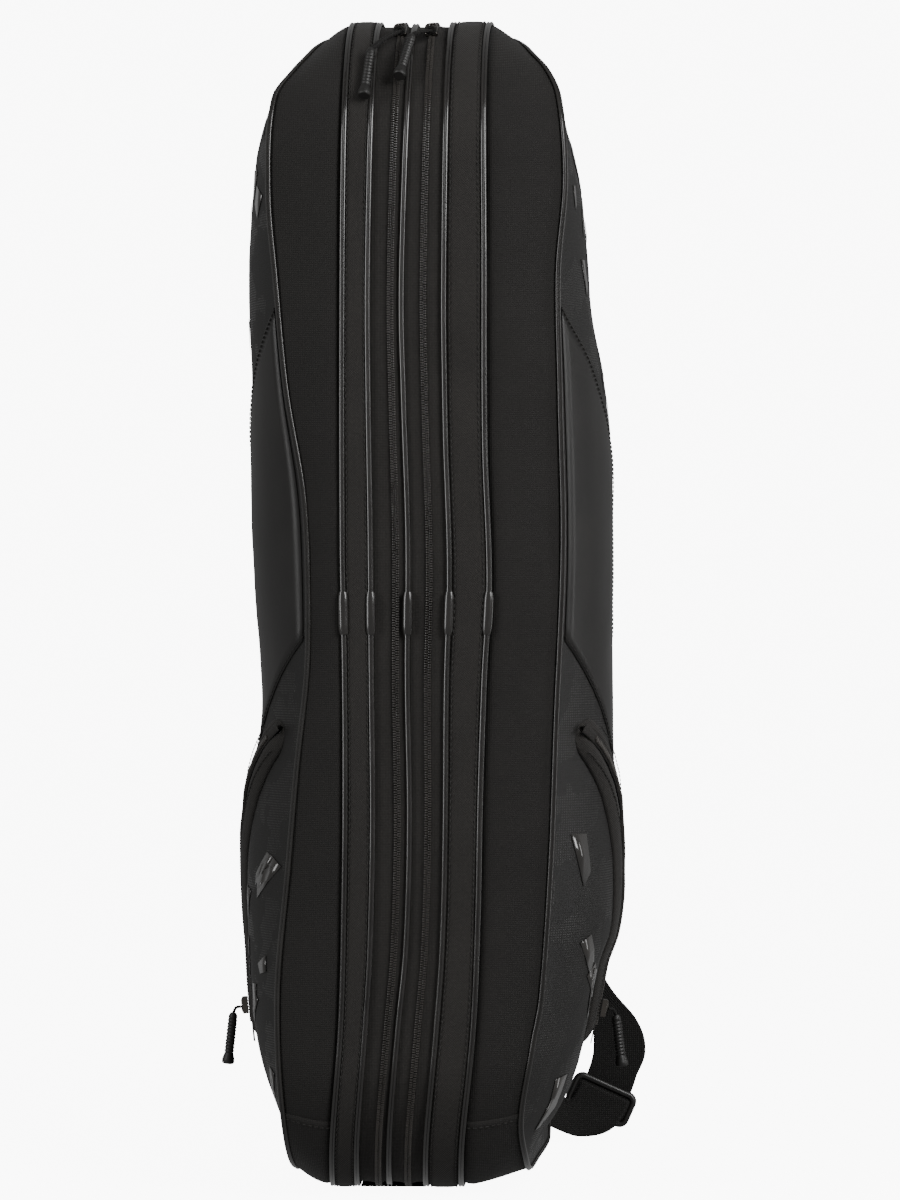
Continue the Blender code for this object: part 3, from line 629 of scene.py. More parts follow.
def tape(name, first, chain, body, cad):
    """Half a zipper: woven tape from its seam to a raised edge, with a row of coil turns."""
    toward = 1 if chain > first else -1
    edge = chain - toward * 0.0016

    def inset(share, x, s):
        return TAPE_INSET - 0.0012 * max(0, share - 0.6) / 0.4 + waves((x, s, 3), 0.02, 0.0002)

    obj = strip(name, first, edge, inset, 7, 0.0010)
    placed(obj, "tape", body, [cad])
    middle = [outline_point(i, seam_x(chain, distance(i)), 0.0018) for i in WRAP]
    places = []
    for place, along in resample(middle, 0.0016):
        out = out_of_outline(place)
        across = Vector((1, 0, 0))
        shifted = place - across * toward * 0.0011 + along * (0.0004 * toward) + out * 0.0001
        places.append((shifted, along, across, out))
    teeth = blocks(f"{name}_coil", places, (0.00090, 0.0020, 0.0013))
    placed(teeth, "coil", body)


# Gussets and faces.


def gusset_rows(side, stations, flare=0.0):
    rows = []
    for i in stations:
        inner = gusset_seam_x(side, i) + side * TUCK
        outer = edge_x(side, i)
        row = []
        for j in range(13):
            share = j / 12
            inset = EDGE_INSET + (OUTER_INSET - EDGE_INSET) * share**1.7
            inset += 0.0026 * max(0, 0.12 - share) / 0.12
            inset -= flare
            x = inner + (outer - inner) * share
            fade = min(1, 8 * share, 8 * (1 - share))
            inset += abs(waves((x, STATIONS[i][0], STATIONS[i][1]), 0.055, 0.0018)) * fade
            row.append(outline_point(i, x, inset))
        rows.append(row)
    return rows


def gusset(word, side):
    """The side wall and its sewn end patches."""
    top_rear = TOP_REAR * FINE
    spans = {
        "front": (range(8 * FINE, top_rear + 1), 0.0, ["front", "top"]),
        "bottom": (range(0, 8 * FINE + 2), 0.0007, ["bottom"]),
        "rear": (list(range(top_rear, len(STATIONS))) + [0], 0.0, ["rear"]),
    }
    for label, (span, flare, stands_for) in spans.items():
        obj = shell(f"{word}_{label}_gusset_cloth", gusset_rows(side, span, flare), 0.0018, away_from_middle)
        cad = [f"{word}_{part}_gusset" for part in stands_for]
        placed(obj, "gusset", f"{word}_case", cad, lining=True)
    line = [p + outward(8 * FINE - 1) * 0.0002 for p in gusset_rows(side, [8 * FINE], 0.0007)[0][1:-1]]
    stitches(f"{word}_bottom_patch_stitches", line, out_of_outline, f"{word}_case")


RINGS = (0, 0.015, 0.04, 0.07, 0.11, 0.16, 0.22, 0.29, 0.37, 0.46, 0.56, 0.67, 0.78, 0.88)


def face_point(side, index, share):
    """A point on a face panel: share 0 at the outer piping, 1 on the panel's middle line."""
    y, z, inward_y, inward_z = STATIONS[index]
    start = Vector((y + inward_y * OUTER_INSET, z + inward_z * OUTER_INSET))
    middle = Vector((0, min(max(start.y, FACE_END), LENGTH - FACE_END)))
    place = start.lerp(middle, share)
    travelled = share * (middle - start).length
    rise = 1 - max(0, 1 - travelled / FACE_SHOULDER) ** 2.2
    widest = (FACE_X_LEFT if side < 0 else FACE_X_RIGHT)(place.y)
    edge = abs(edge_x(side, index))
    x = edge + (max(widest, edge) - edge) * rise
    broad, small = waves((*place, side), 0.070, 0.0018), waves((*place, side * 2), 0.022, 0.0006)
    x += rise * (broad + small)
    x -= rise * (0.0034 if side < 0 else 0.0028) * min(1, max(0.2, (place.y - 0.20) / 0.10))
    return Vector((side * x, place.x, place.y))


def face_panel(word, side):
    """The domed side panel; returns its surface for what is laid on it."""
    count = len(STATIONS)
    points = [face_point(side, i, share) for share in RINGS for i in LOOP]
    faces = []
    for ring in range(len(RINGS) - 1):
        for i in range(count):
            a, b = ring * count + i, ring * count + (i + 1) % count
            faces.append((a, b, b + count, a + count))
    obj = mesh_object(f"{word}_face_cloth", points, faces)
    shape = bmesh.new()
    shape.from_mesh(obj.data)
    last = (len(RINGS) - 1) * count
    shape.verts.ensure_lookup_table()
    edges = [e for e in shape.edges if e.is_boundary and all(v.index >= last for v in e.verts)]
    bmesh.ops.triangle_fill(shape, edges=edges, use_beauty=True)
    bmesh.ops.recalc_face_normals(shape, faces=shape.faces)
    if sum(face.normal.x for face in shape.faces) * side < 0:
        bmesh.ops.reverse_faces(shape, faces=shape.faces)
    surface = BVHTree.FromBMesh(shape)
    shape.to_mesh(obj.data)
    shape.free()
    thicken(obj, 0.0022)
    placed(obj, "print", f"{word}_case", [f"{word}_face_panel"], lining=True)

    def on_face(y, z, lift):
        start = Vector((side * 0.4, y, z))
        hit, normal, _, _ = surface.ray_cast(start, Vector((-side, 0, 0)))
        return (hit + normal * lift, normal) if hit else (None, None)

    return on_face


def pocket_place(turn, reach):
    return POCKET_CENTRE[0] + reach * math.cos(turn), POCKET_CENTRE[1] + reach * math.sin(turn)


def smooth_panel(word, side, on_face):
    """The smooth coated panel that crosses the face on the slant, down to the pocket's opening."""
    rows = []
    for k in range(41):
        y = -0.1425 + 0.280 * k / 40
        high = 0.572 - 1.0 * (y + 0.146)
        low = max(0.360 - 1.1 * (y + 0.146), 0.062)
        rows.append([on_face(y, low + (high - low) * j / 20, 0.0008)[0] for j in range(21)])
    obj = shell(f"{word}_smooth_panel", rows, 0.0006, facing(side, 0, 0))
    placed(obj, "smooth", f"{word}_case")
    for label in ("upper", "lower"):
        line = [row[-1 if label == "upper" else 0] for row in rows]
        inner = [row[-2 if label == "upper" else 1] for row in rows]
        line = [a.lerp(b, 0.2) + Vector((side * 0.0004, 0, 0)) for a, b in zip(line, inner)]
        name = f"{word}_{label}_panel_stitches"
        stitches(name, line, facing(side, 0, 0), f"{word}_case")


SHARDS = 70


def shards(word, side, on_face):
    """Tonal glossy slivers printed on the mesh cloth above and below the smooth panel."""
    points, faces = [], []
    draw = random.Random(20 + side)
    for _ in range(SHARDS):
        pick = [draw.random() for _ in range(6)]
        y = -0.130 + 0.255 * pick[0]
        low = pick[1] < 0.55
        z = 0.045 + 0.24 * pick[2] if low else 0.50 + 0.20 * pick[2]
        long, wide = 0.010 + 0.026 * pick[3], 0.006 + 0.013 * pick[4]
        turn = -0.9 + 1.3 * pick[5]
        below = z < 0.335 - 1.1 * (y + 0.146)
        if not (below if low else z > 0.60 - (y + 0.146)):
            continue
        inside = math.hypot(y - POCKET_CENTRE[0], z - POCKET_CENTRE[1])
        if low and abs(inside - POCKET_RADIUS) < 0.032:
            continue
        corners = ((-0.5, -0.3), (0.5, -0.5), (0.4, 0.5), (-0.3, 0.4))
        ring = []
        for steps in range(4):
            (u0, v0), (u1, v1) = corners[steps], corners[(steps + 1) % 4]
            for part in (0, 0.5):
                u, v = u0 + (u1 - u0) * part, v0 + (v1 - v0) * part
                dy = long * u * math.sin(turn) + wide * v * math.cos(turn)
                dz = long * u * math.cos(turn) - wide * v * math.sin(turn)
                ring.append(on_face(y + dy, z + dz, 0.0006)[0])
        if None in ring:
            continue
        first = len(points)
        points += ring
        faces.append(tuple(range(first, first + len(ring))))
    obj = mesh_object(f"{word}_print_shards", points, faces)
    for face in obj.data.polygons:
        if face.normal.x * side < 0:
            face.flip()
    thicken(obj, 0.0002, lining=0)
    placed(obj, "shard", f"{word}_case")


# The pockets on the faces.


def pocket_strip(word, label, on_face, across, lift, thickness, paint, slot, cad, spread=0.0, rounded=False):
    """A strip that follows the pocket's arc; across holds (offset from the arc, extra lift)."""
    first, last = POCKET_TURNS
    rows = []
    tip = (0.0, 0.002, 0.007, 0.015, 0.026, 0.040)
    shares = [*tip, *(0.055 + 0.89 * k / 50 for k in range(51)), *(1 - share for share in reversed(tip))]
    for share in shares:
        turn = math.radians(first + (last - first) * share)
        row = []
        near = min(share, 1 - share) / 0.055
        leaf = 1 + spread * math.sin(math.pi * share)
        if rounded and near < 1:
            leaf *= math.sqrt(1 - (1 - near) ** 2)
        for offset, extra in across:
            y, z = pocket_place(turn, POCKET_RADIUS + offset * leaf)
            low = 0.0044 * (1 - min(1, near)) ** 2 if rounded else 0
            row.append(on_face(y, z, max(0.0003, lift + extra - low))[0])
        rows.append(row)
    obj = shell(f"{word}_pocket_{label}", rows, thickness, facing(SIDES[word], 0, 0))
    placed(obj, paint, f"{word}_case", cad)


def pocket_line(on_face, offset, lift, first, last):
    turns = [math.radians(first + (last - first) * k / 90) for k in range(91)]
    return [on_face(*pocket_place(t, POCKET_RADIUS + offset), lift)[0] for t in turns]


def pocket(word, side, on_face):
    """The pocket's wide bound edge, its zipper tape, coil and stitches."""
    body = f"{word}_case"
    half = POCKET_HALF
    across = [(-half, -0.0046), (-half * 0.9, -0.0030), (-half * 0.7, -0.0012)]
    across += [(-half * 0.45, -0.0001), (-0.0028, -0.0006)]
    for sign, label in ((1, "inner"), (-1, "outer")):
        rows = [(offset * sign, extra) for offset, extra in across]
        cad = [f"{word}_pocket_welt"] if sign > 0 else []
        look = ("canvas", "printed_canvas", cad, 0.8 * (sign > 0), True)
        pocket_strip(word, f"binding_{label}", on_face, rows, 0.0050, 0.0015, *look)
        line = pocket_line(on_face, -half * 0.80 * sign, 0.0050, 53, -6)
        name = f"{word}_pocket_stitches_{label}"
        stitches(name, line, facing(side, 0, 0), body, 0.0036)
    flat = [(offset, 0) for offset in (-0.0032, -0.001, 0.001, 0.0032)]
    pocket_strip(word, "tape", on_face, flat, 0.0052, 0.0008, "tape", "zipper_coil", [f"{word}_pocket_zipper"])
    places = []
    middle = resample(pocket_line(on_face, 0, 0.0058, 53.5, -6.5), 0.00105)
    for k, (place, along) in enumerate(middle):
        across_way = along.cross(Vector((side, 0, 0))).normalized() * (1 if k % 2 else -1)
        places.append((place + across_way * 0.0007, along, across_way, along.cross(across_way)))
    fixed = [(p, a, c, o if o.x * side > 0 else -o) for p, a, c, o in places]
    obj = blocks(f"{word}_pocket_coil", fixed, (0.0011, 0.0030, 0.0013))
    placed(obj, "coil", body)


# Sliders and pulls.


def smoothed(p, t):
    """A point between p[1] and p[2] on the smooth curve through four points."""
    cubic = p[1] * 3 - p[0] - p[2] * 3 + p[3]
    return (p[1] * 2 + (p[2] - p[0]) * t + (p[0] * 2 - p[1] * 5 + p[2] * 4 - p[3]) * t**2 + cubic * t**3) / 2


SLEEVE_PROFILE = [(0, 0.0020), (0.06, 0.0030), (0.80, 0.0031), (0.92, 0.0042), (0.98, 0.0042), (1, 0.0036)]
RIBS, RIB_HEIGHT = 15, 0.00028


def rubber(name, start, end, body, cad):
    """A pull's ribbed rubber sleeve, turned to a profile of (share of the length, radius)."""
    axis = (end - start).normalized()
    u = axis.orthogonal().normalized()
    v = axis.cross(u)
    shares = sorted({p[0] for p in SLEEVE_PROFILE} | {k / 60 for k in range(61)})
    frames = []
    for share in shares:
        radius = SLEEVE_PROFILE[-1][1]
        for (s0, r0), (s1, r1) in zip(SLEEVE_PROFILE, SLEEVE_PROFILE[1:]):
            if s0 <= share <= s1:
                radius = r0 + (r1 - r0) * (share - s0) / (s1 - s0)
                break
        if 0.10 < share < 0.80:
            radius += RIB_HEIGHT * math.sin(share * RIBS * 2 * math.pi)
        frames.append((start.lerp(end, share), u * radius, v * radius))
    placed(sweep(name, frames, ring_section(1, 22)), "rubber", body, [cad])


def tube_through(name, knots, radius, paint, body, cad=(), closed=False, braid=0.0):
    """A round cord through points, smoothed; braid makes its surface wander like plaiting."""
    points = []
    count = len(knots)
    spans = count if closed else count - 1
    for k in range(spans):
        if closed:
            p = [knots[(k + j - 1) % count] for j in range(4)]
        else:
            p = [knots[min(max(k + j - 1, 0), count - 1)] for j in range(4)]
        points += [smoothed(p, step / 10) for step in range(10)]
    if not closed:
        points.append(knots[-1])
    frames, u = [], None
    for k, place in enumerate(points):
        before = points[(k - 1) % len(points)] if closed or k else points[0]
        after = points[(k + 1) % len(points)] if closed or k < len(points) - 1 else points[-1]
        along = (after - before).normalized()
        u = along.orthogonal() if u is None else u - along * u.dot(along)
        u = u.normalized()
        r = radius * (1 + braid * math.sin(k * 1.9))
        frames.append((place, u * r, along.cross(u) * r))
    obj = sweep(name, frames, ring_section(1, 12), wrap=closed)
    return placed(obj, paint, body, cad)


def arc_point(turn_deg, x, inset):
    turn = math.radians(turn_deg)
    reach = FRONT_TOP_RADIUS - inset
    y = -HALF + FRONT_TOP_RADIUS - reach * math.cos(turn)
    return Vector((x, y, LENGTH - FRONT_TOP_RADIUS + reach * math.sin(turn)))


SLIDER_TURN = 63


def main_pull(word, side, sleeve_x, sleeve_turns):
    """The slider's bail, ring, knotted cord and ribbed sleeve."""
    x = seam_x(CHAIN[side], DISTANCE[27])
    centre = arc_point(SLIDER_TURN, x, 0.0004)
    ahead = (arc_point(SLIDER_TURN - 1, x, 0.0004) - centre).normalized()
    out = (arc_point(SLIDER_TURN, x, -0.1) - centre).normalized()
    across = Vector((1, 0, 0))
    body, slot = f"{word}_main_slider", "black_steel"
    bail = ((-0.0045, 0.0015), (-0.0030, 0.0031), (0.0020, 0.0034), (0.0042, 0.0016))
    knots = [centre + ahead * a + out * o for a, o in bail]
    tube_through(f"{word}_slider_bail", knots, 0.0008, "steel", body)
    ring_centre = centre + out * 0.0048 + ahead * 0.0052
    ring = []
    for k in range(16):
        turn = 2 * math.pi * k / 16
        ring.append(ring_centre + across * 0.0034 * math.cos(turn) + ahead * 0.0052 * math.sin(turn))
    body = f"{word}_main_pull"
    tube_through(f"{word}_ring_wire", ring, 0.0007, "steel", body, [f"{word}_pull_ring"], closed=True)
    top = arc_point(sleeve_turns[0], sleeve_x[0], -0.0060)
    tip = arc_point(sleeve_turns[1], sleeve_x[1], -0.0060)
    start = ring_centre + ahead * 0.0072
    knots = [start, start.lerp(top, 0.35) + out * 0.0008, start.lerp(top, 0.7) + out * 0.001, top]
    for offset, label in ((-0.0011, "a"), (0.0011, "b")):
        shifted = [k + across * offset for k in knots]
        cad = [f"{word}_pull_cord"] if label == "a" else []
        tube_through(f"{word}_cord_{label}", shifted, 0.0010, "webbing", body, cad, braid=0.12)
    loop = []
    for k in range(14):
        turn = 2 * math.pi * k / 14
        loop.append(start + across * 0.0026 * math.cos(turn) + out * 0.0020 * math.sin(turn) - ahead * 0.0005)
    tube_through(f"{word}_cord_knot", loop, 0.0012, "webbing", body, closed=True, braid=0.15)
    rubber(f"{word}_rubber_pull", top, tip, body, f"{word}_pull_sleeve")


def pocket_pull(word, side, on_face):
    """The pocket slider's ribbed rubber pull, with the cord that ties it on."""
    low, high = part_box(f"{word}_pocket_pull")
    slide_low, slide_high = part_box(f"{word}_pocket_slider")
    here = (slide_low + slide_high) / 2
    start = Vector(((low.x + 0.0033) if side > 0 else (high.x - 0.0033), low.y + 0.0035, high.z - 0.0006))
    end = Vector((start.x + side * 0.0040, start.y + 0.0040, low.z + 0.0008))
    place, normal = on_face(here.y, here.z, 0.0090 + 0.0005 * (side > 0))
    tangent = Vector((0, POCKET_CENTRE[1] - here.z, here.y - POCKET_CENTRE[0]))
    along = (tangent - normal * tangent.dot(normal)).normalized()
    frames = [(place, along, along.cross(normal), normal)]
    plate = blocks(f"{word}_pocket_slider_body", frames, (0.0115, 0.0074, 0.0042))
    placed(plate, "steel", f"{word}_pocket_slider", [f"{word}_pocket_slider"])
    body = f"{word}_pocket_pull"
    rubber(f"{word}_pocket_rubber", start, end, body, f"{word}_pocket_pull")
    between = here.lerp(start, 0.6) + Vector((side * 0.001, 0, 0.001))
    knots = [here + Vector((side * 0.0020, 0, -0.002)), between, start]
    tube_through(f"{word}_pocket_cord", knots, 0.0010, "webbing", body, braid=0.12)


# Straps, spine and handle, which face away.


WEBBING_RIB = 0.00018


def ribbon(name, knots, width, thickness, body, cad):
    """Flat ribbed webbing through points, each with the direction of its width."""
    rows = []
    fine = 8
    spans = len(knots) - 1
    for k in range(spans * fine + 1):
        i, t = min(k // fine, spans - 1), k / fine - min(k // fine, spans - 1)
        p = [Vector(knots[min(max(i + j - 1, 0), spans)][:3]) for j in range(4)]
        place = smoothed(p, t)
        this, after = (Vector(knot[3:]).normalized() for knot in knots[i : i + 2])
        across = this.lerp(after, t).normalized()
        row = []
        for j in range(25):
            u = j / 24 * 2 - 1
            row.append(place + across * u * width / 2 + Vector((0, WEBBING_RIB * math.cos(j * math.pi), 0)))
        rows.append(row)
    placed(shell(name, rows, thickness, facing(0, 1, 0)), "webbing", body, [cad])


STRAP_ROUTES = {
    "left": [
        (-0.026, 0.1760, 0.360, 1, 0, 0),
        (-0.032, 0.1860, 0.300, 1, 0, 0),
        (-0.037, 0.1940, 0.220, 1, 0, 0),
        (-0.038, 0.1975, 0.150, 1, 0, 0),
        (-0.038, 0.1975, 0.060, 1, 0, 0),
    ],
    "right": [
        (0.026, 0.1760, 0.360, 1, 0, 0),
        (0.040, 0.1860, 0.300, 1, 0, -0.15),
        (0.066, 0.1930, 0.220, 1, 0, -0.30),
        (0.100, 0.1970, 0.127, 1, 0, -0.50),
        (0.124, 0.1985, 0.090, 1, 0, -0.30),
        (0.129, 0.1990, 0.065, 1, 0, -0.05),
        (0.123, 0.1990, 0.045, 1, 0, 0.10),
        (0.114, 0.1990, 0.026, 1, 0, -0.30),
    ],
}
STRAP_LOWER = {
    "left": [
        (-0.038, 0.2045, 0.110, 1, 0, 0),
        (-0.038, 0.2045, 0.060, 1, 0, 0),
        (-0.037, 0.1960, 0.036, 1, 0, 0),
        (-0.036, 0.1740, 0.040, 1, 0, 0),
        (-0.030, 0.1665, 0.060, 1, 0, 0),
    ],
    "right": [
        (0.119, 0.1890, 0.036, 1, 0, -0.44),
        (0.109, 0.1880, 0.020, 1, 0, -0.60),
        (0.090, 0.1860, 0.021, 0.5, 0, -1),
        (0.066, 0.1800, 0.034, 0.3, 0, -1),
        (0.050, 0.1730, 0.045, 0.2, 0, -1),
        (0.034, 0.1665, 0.052, 0.2, 0, -1),
    ],
}


def strap(word):
    """The padded shoulder strap and the flat webbing below it."""
    x = STRAP_ROUTES[word][0][0]
    rows = []
    for k in range(33):
        share = k / 32
        z = 0.700 + (0.365 - 0.700) * share
        y = 0.1735 + 0.010 * math.sin(math.pi * share)
        half = 0.017 + 0.004 * min(1, 8 * share, 8 * (1 - share))
        row = []
        for j in range(13):
            u = j / 12 * 2 - 1
            crown = 0.0025 * (1 - u * u) - 0.0022 * abs(u) ** 8
            row.append(Vector((x + half * u, y + crown - 0.0005 + waves((u, z, x), 0.4, 0.0004), z)))
        rows.append(row)
    obj = shell(f"{word}_padded_strap", rows, 0.0085, facing(0, 1, 0))
    placed(obj, "canvas", "root", [f"{word}_strap_pad"])
    for sign, label in ((-1, "left"), (1, "right")):
        line = [row[6 + 5 * sign] + Vector((0, 0.0005, 0)) for row in rows[1:-1]]
        stitches(f"{word}_strap_stitches_{label}", line, facing(0, 1, 0), "root")
    ribbon(f"{word}_strap_ribbon", STRAP_ROUTES[word], 0.036, 0.0018, "root", f"{word}_strap_webbing")
    ribbon(f"{word}_lower_ribbon", STRAP_LOWER[word], 0.036, 0.0018, "root", f"{word}_lower_webbing")


ADJUSTERS = {"left": ((-0.038, 0.2003, 0.095), 0), "right": ((0.1160, 0.1900, 0.0300), -24)}


def adjuster(word):
    """The rounded slide frame: a thick rim and the bar that the webbing turns round."""
    (x, y, z), tilt = ADJUSTERS[word]
    tilt = math.radians(tilt)
    centre = Vector((x, y, z))
    along = Vector((math.cos(tilt), 0, math.sin(tilt)))
    up = Vector((-math.sin(tilt), 0, math.cos(tilt)))
    out = Vector((0, -1, 0))
    wide, tall, corner = 0.0215, 0.0108, 0.0045
    frames = []
    for quarter, (u, v) in enumerate(((1, 1), (-1, 1), (-1, -1), (1, -1))):
        for k in range(7):
            turn = math.radians(90 * quarter + 15 * k)
            arm = along * math.cos(turn) + up * math.sin(turn)
            place = centre + along * u * (wide - corner) + up * v * (tall - corner) + arm * corner
            frames.append((place, arm, out))
    rim = sweep(f"{word}_adjuster_rim", frames, ring_section(0.0024, 16, 1.0), wrap=True)
    placed(rim, "plastic", f"{word}_adjuster", [f"{word}_strap_adjuster"])
    rows = []
    for k in range(13):
        share = k / 12 * 2 - 1
        bulge = out * (0.0024 * math.cos(share * math.pi / 2) - 0.0006)
        middle = centre + up * share * tall
        rows.append([middle + along * (j / 12 * 2 - 1) * 0.0197 + bulge for j in range(13)])
    loop = shell(f"{word}_adjuster_loop", rows, 0.0016, facing(*out))
    placed(loop, "webbing", f"{word}_adjuster")
    bar = [(centre + along * share * wide, up, out) for share in (-0.98, 0, 0.98)]
    bar = sweep(f"{word}_adjuster_bar", bar, ring_section(0.0020, 12, 0.8))
    placed(bar, "plastic", f"{word}_adjuster")


def spine():
    """The cloth between the two compartments at the back."""
    rows = []
    for i in list(range(TOP_REAR * FINE, len(STATIONS))) + [0]:
        half = HINGE_X - 0.0015
        s = i * 0.02
        row = []
        for j in range(13):
            u = j / 12 * 2 - 1
            inset = 0.001 + 0.0008 * abs(u) ** 6 + abs(waves((u, s, 5), 0.5, 0.0006))
            row.append(outline_point(i, half * u, inset))
        rows.append(row)
    obj = shell("spine_cloth", rows, 0.0022, away_from_middle)
    placed(obj, "canvas", "root", ["spine_panel"], lining=True)
    for sign, label in ((-1, "left"), (1, "right")):
        line = [row[6 + 5 * sign] + Vector((0, 0.0002, 0)) for row in rows]
        stitches(f"spine_stitches_{label}", line, out_of_outline, "root")


def handle():
    """The carry handle: bowed webbing and its padded grip."""
    knots = []
    for k in range(13):
        share = k / 12
        bow = math.sin(math.pi * share) ** 0.5 if 0 < share < 1 else 0
        knots.append((0, 0.1632 + 0.032 * bow, 0.110 + 0.190 * share, 1, 0, 0))
    ribbon("handle_ribbon", knots, 0.012, 0.0016, "handle", "handle_webbing")
    frames = []
    for k in range(41):
        share = k / 40
        z = 0.1632 + 0.0836 * share
        swell = 1 - 0.22 * abs(2 * share - 1) ** 10
        place = Vector((0, 0.1937, z))
        frames.append((place, Vector((0.0102 * swell, 0, 0)), Vector((0, 0.0083 * swell, 0))))
    obj = sweep("handle_cover", frames, ring_section(1, 28))
    placed(obj, "canvas", "handle", ["handle_grip"])


def strap_anchor(word):
    """The folded webbing that anchors a strap, with its stitched box."""
    foot = STRAP_LOWER[word][-1]
    x, z = foot[0], foot[2] + 0.010
    rows = []
    for i in range(15):
        v = i / 14 * 2 - 1
        row = []
        for j in range(25):
            u = j / 24 * 2 - 1
            y = 0.1637 - 0.0010 * abs(v) ** 8 + WEBBING_RIB * math.cos(j * math.pi)
            row.append(Vector((x + 0.0168 * u, y, z + 0.0128 * v)))
        rows.append(row)
    obj = shell(f"{word}_strap_anchor", rows, 0.0026, facing(0, 1, 0))
    placed(obj, "webbing", "root", [f"{word}_strap_tab"])
    corners = ((-1, -1), (1, -1), (1, 1), (-1, 1), (-1, -1))
    line = [Vector((x + 0.0135 * a, 0.1638, z + 0.0100 * b)) for a, b in corners]
    stitches(f"{word}_strap_anchor_stitches", line, facing(0, 1, 0), "root")


def quilted_divider():
    """The padded wall between the compartments, quilted on both sides."""
    section = [(p.y, p.z - LENGTH / 2) for p in (outline_point(i, 0, 0.0095) for i in LOOP[::3])]
    rings = 44
    frames = []
    for k in range(-rings, rings + 1):
        share = 1 - 0.98 * abs(k) / rings
        side = (k > 0) - (k < 0)
        place = Vector((CENTRE_SEAM + side * 0.0011, 0, LENGTH / 2))
        frames.append((place, Vector((0, share, 0)), Vector((0, 0, share))))
    obj = sweep("divider_pad", frames, section)
    for vertex in obj.data.vertices:
        off = vertex.co.x - CENTRE_SEAM
        if abs(off) > 0.0005:
            rise = math.sin((vertex.co.y + vertex.co.z) * math.pi / 0.07)
            fall = math.sin((vertex.co.y - vertex.co.z) * math.pi / 0.07)
            vertex.co.x += math.copysign(0.0012 * abs(rise * fall) ** 0.4, off)
    placed(obj, "lining", "root", ["divider"])


def plain_sliders():
    """The two main sliders' bodies, which stay as the frame has them."""
    for word in SIDES:
        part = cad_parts[f"{word}_slider"]
        part.data.materials.clear()
        part.data.materials.append(PAINT["steel"])


def end_patch():
    """The cloth patch that closes the zippers' lower ends."""
    rows = []
    first, width = BAND_SEAM[-1] + PIPING_CLEAR, BAND_SEAM[1] - BAND_SEAM[-1] - 2 * PIPING_CLEAR
    for i in range(FINE, 4 * FINE + 1):
        xs = [seam_x(first + width * j / 12, distance(i)) for j in range(13)]
        rows.append([outline_point(i, x, 0.0) for x in xs])
    obj = shell("end_patch_cloth", rows, 0.0009, away_from_middle)
    placed(obj, "canvas", "root", ["zipper_end_patch"])


# The room.

PAPER_GLOW = 9.0
ROOM = 9  # metres from the bag to the backdrop
CAMERA_AWAY = 3.0
CAMERA_SHIFT = 0.0291667  # share of the frame


def glowing(name):
    """Seamless studio paper, lit so that it stays pale."""
    paint, _, shader = new_material(name, 0.9)
    shader.inputs["Base Color"].default_value = (0.9, 0.9, 0.9, 1)
    shader.inputs["Emission Color"].default_value = (1, 1, 1, 1)
    shader.inputs["Emission Strength"].default_value = PAPER_GLOW
    return paint


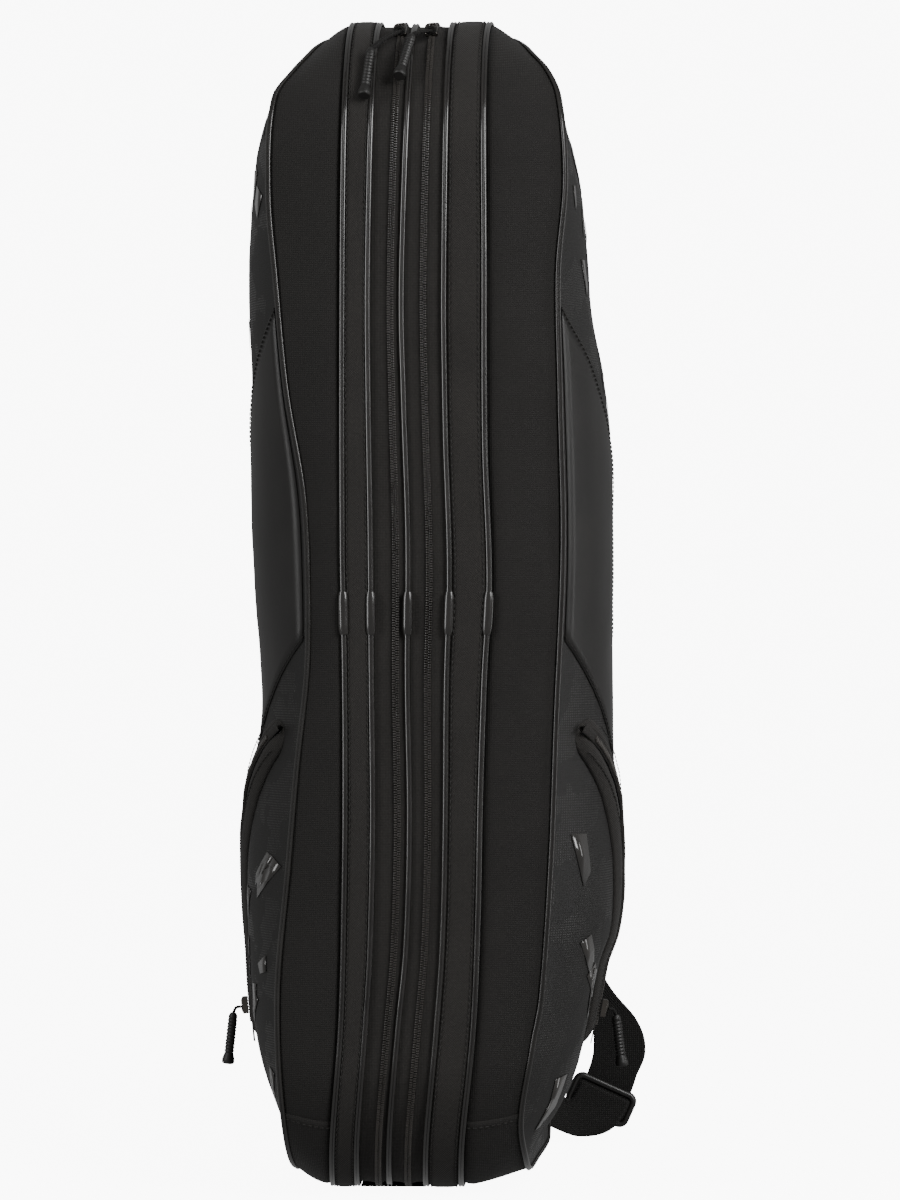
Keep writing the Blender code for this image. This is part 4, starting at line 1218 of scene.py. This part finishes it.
def room():
    """Pale paper below and all round, and three soft lamps."""
    corners = [(ROOM * u, ROOM * v, 0) for u, v in ((-1, -1), (1, -1), (1, 1), (-1, 1))]
    floor = mesh_object("floor", corners, [(0, 1, 2, 3)])
    floor.location.z = -0.0005
    rings = []
    for k in range(13):
        high = math.pi / 2 * (k / 12 * 1.08 - 0.08)
        flat, level = ROOM * math.cos(high), ROOM * math.sin(high)
        turns = [2 * math.pi * t / 48 for t in range(48)]
        rings += [(flat * math.cos(t), flat * math.sin(t), level) for t in turns]
    dome = mesh_object("backdrop", rings, grid_faces(13, 48, wrap_columns=True))
    for obj, paint in ((floor, glowing("floor_paper")), (dome, glowing("backdrop_paper"))):
        bpy.context.scene.collection.objects.link(obj)
        obj.data.materials.append(paint)
        obj.visible_diffuse = obj.visible_glossy = obj.visible_shadow = False
    world = bpy.data.worlds.new("studio")
    bpy.context.scene.world = world
    world.use_nodes = True
    back = world.node_tree.nodes["Background"]
    back.inputs["Color"].default_value = (1, 1, 1, 1)
    back.inputs["Strength"].default_value = 0.30

    def lamp(name, place, size, tall, power):
        data = bpy.data.lights.new(name, "AREA")
        data.energy = power
        data.shape = "RECTANGLE"
        data.size, data.size_y = size, tall
        obj = bpy.data.objects.new(name, data)
        obj.location = place
        obj.rotation_euler = (Vector((0, -0.1, 0.40)) - obj.location).to_track_quat("-Z", "Y").to_euler()
        obj.visible_camera = False
        bpy.context.scene.collection.objects.link(obj)

    lamp("key", (1.4, -1.7, 1.5), 0.8, 1.6, 50)
    lamp("fill", (-1.6, -1.4, 0.9), 0.6, 1.6, 20)
    lamp("right_strip", (1.9, -0.1, 0.6), 0.35, 1.5, 8)


def camera():
    data = bpy.data.cameras.new("camera")
    data.lens = 142.3
    data.sensor_width = 36
    data.sensor_height = 36
    data.shift_x = CAMERA_SHIFT
    obj = bpy.data.objects.new("camera", data)
    turn = math.radians(2.5)
    obj.location = (CAMERA_AWAY * math.sin(turn), -HALF - CAMERA_AWAY * math.cos(turn), 0.3822)
    obj.rotation_euler = (math.radians(90), 0, turn)
    bpy.context.scene.collection.objects.link(obj)
    bpy.context.scene.camera = obj


def main():
    for word, side in SIDES.items():
        band(word, side)
        gusset(word, side)
        body = f"{word}_case"
        piping(f"{word}_gusset_cord", GUSSET_SEAM[side], 0.0018, body, f"{word}_gusset_piping")
        piping(f"{word}_band_cord", BAND_SEAM[side], 0.0018, body, f"{word}_band_piping")
        outer_piping(word, side)
        piping_sleeve(f"{word}_gusset_cord_sleeve", GUSSET_SEAM[side], body, f"{word}_gusset_piping_sleeve")
        piping_sleeve(f"{word}_band_cord_sleeve", BAND_SEAM[side], body, f"{word}_band_piping_sleeve")
        outer = BAND_SEAM[side] - side * TUCK
        tape(f"{word}_outer_zipper", outer, CHAIN[side], body, f"{word}_outer_tape")
        inner = CENTRE_SEAM + side * TUCK
        tape(f"{word}_inner_zipper", inner, CHAIN[side], "root", f"{word}_inner_tape")
        on_face = face_panel(word, side)
        smooth_panel(word, side, on_face)
        shards(word, side, on_face)
        pocket(word, side, on_face)
        pocket_pull(word, side, on_face)
        strap(word)
    piping("centre_cord", CENTRE_SEAM, 0.0028, "root", "centre_piping")
    piping_sleeve("centre_cord_sleeve", CENTRE_SEAM, "root", "centre_piping_sleeve")
    main_pull("left", -1, (-0.0290, -0.0325), (44, 23))
    main_pull("right", 1, (-0.0035, -0.0106), (52, 31))
    for word in SIDES:
        adjuster(word)
    spine()
    end_patch()
    handle()
    quilted_divider()
    for word in SIDES:
        strap_anchor(word)
    plain_sliders()
    room()
    camera()


main()
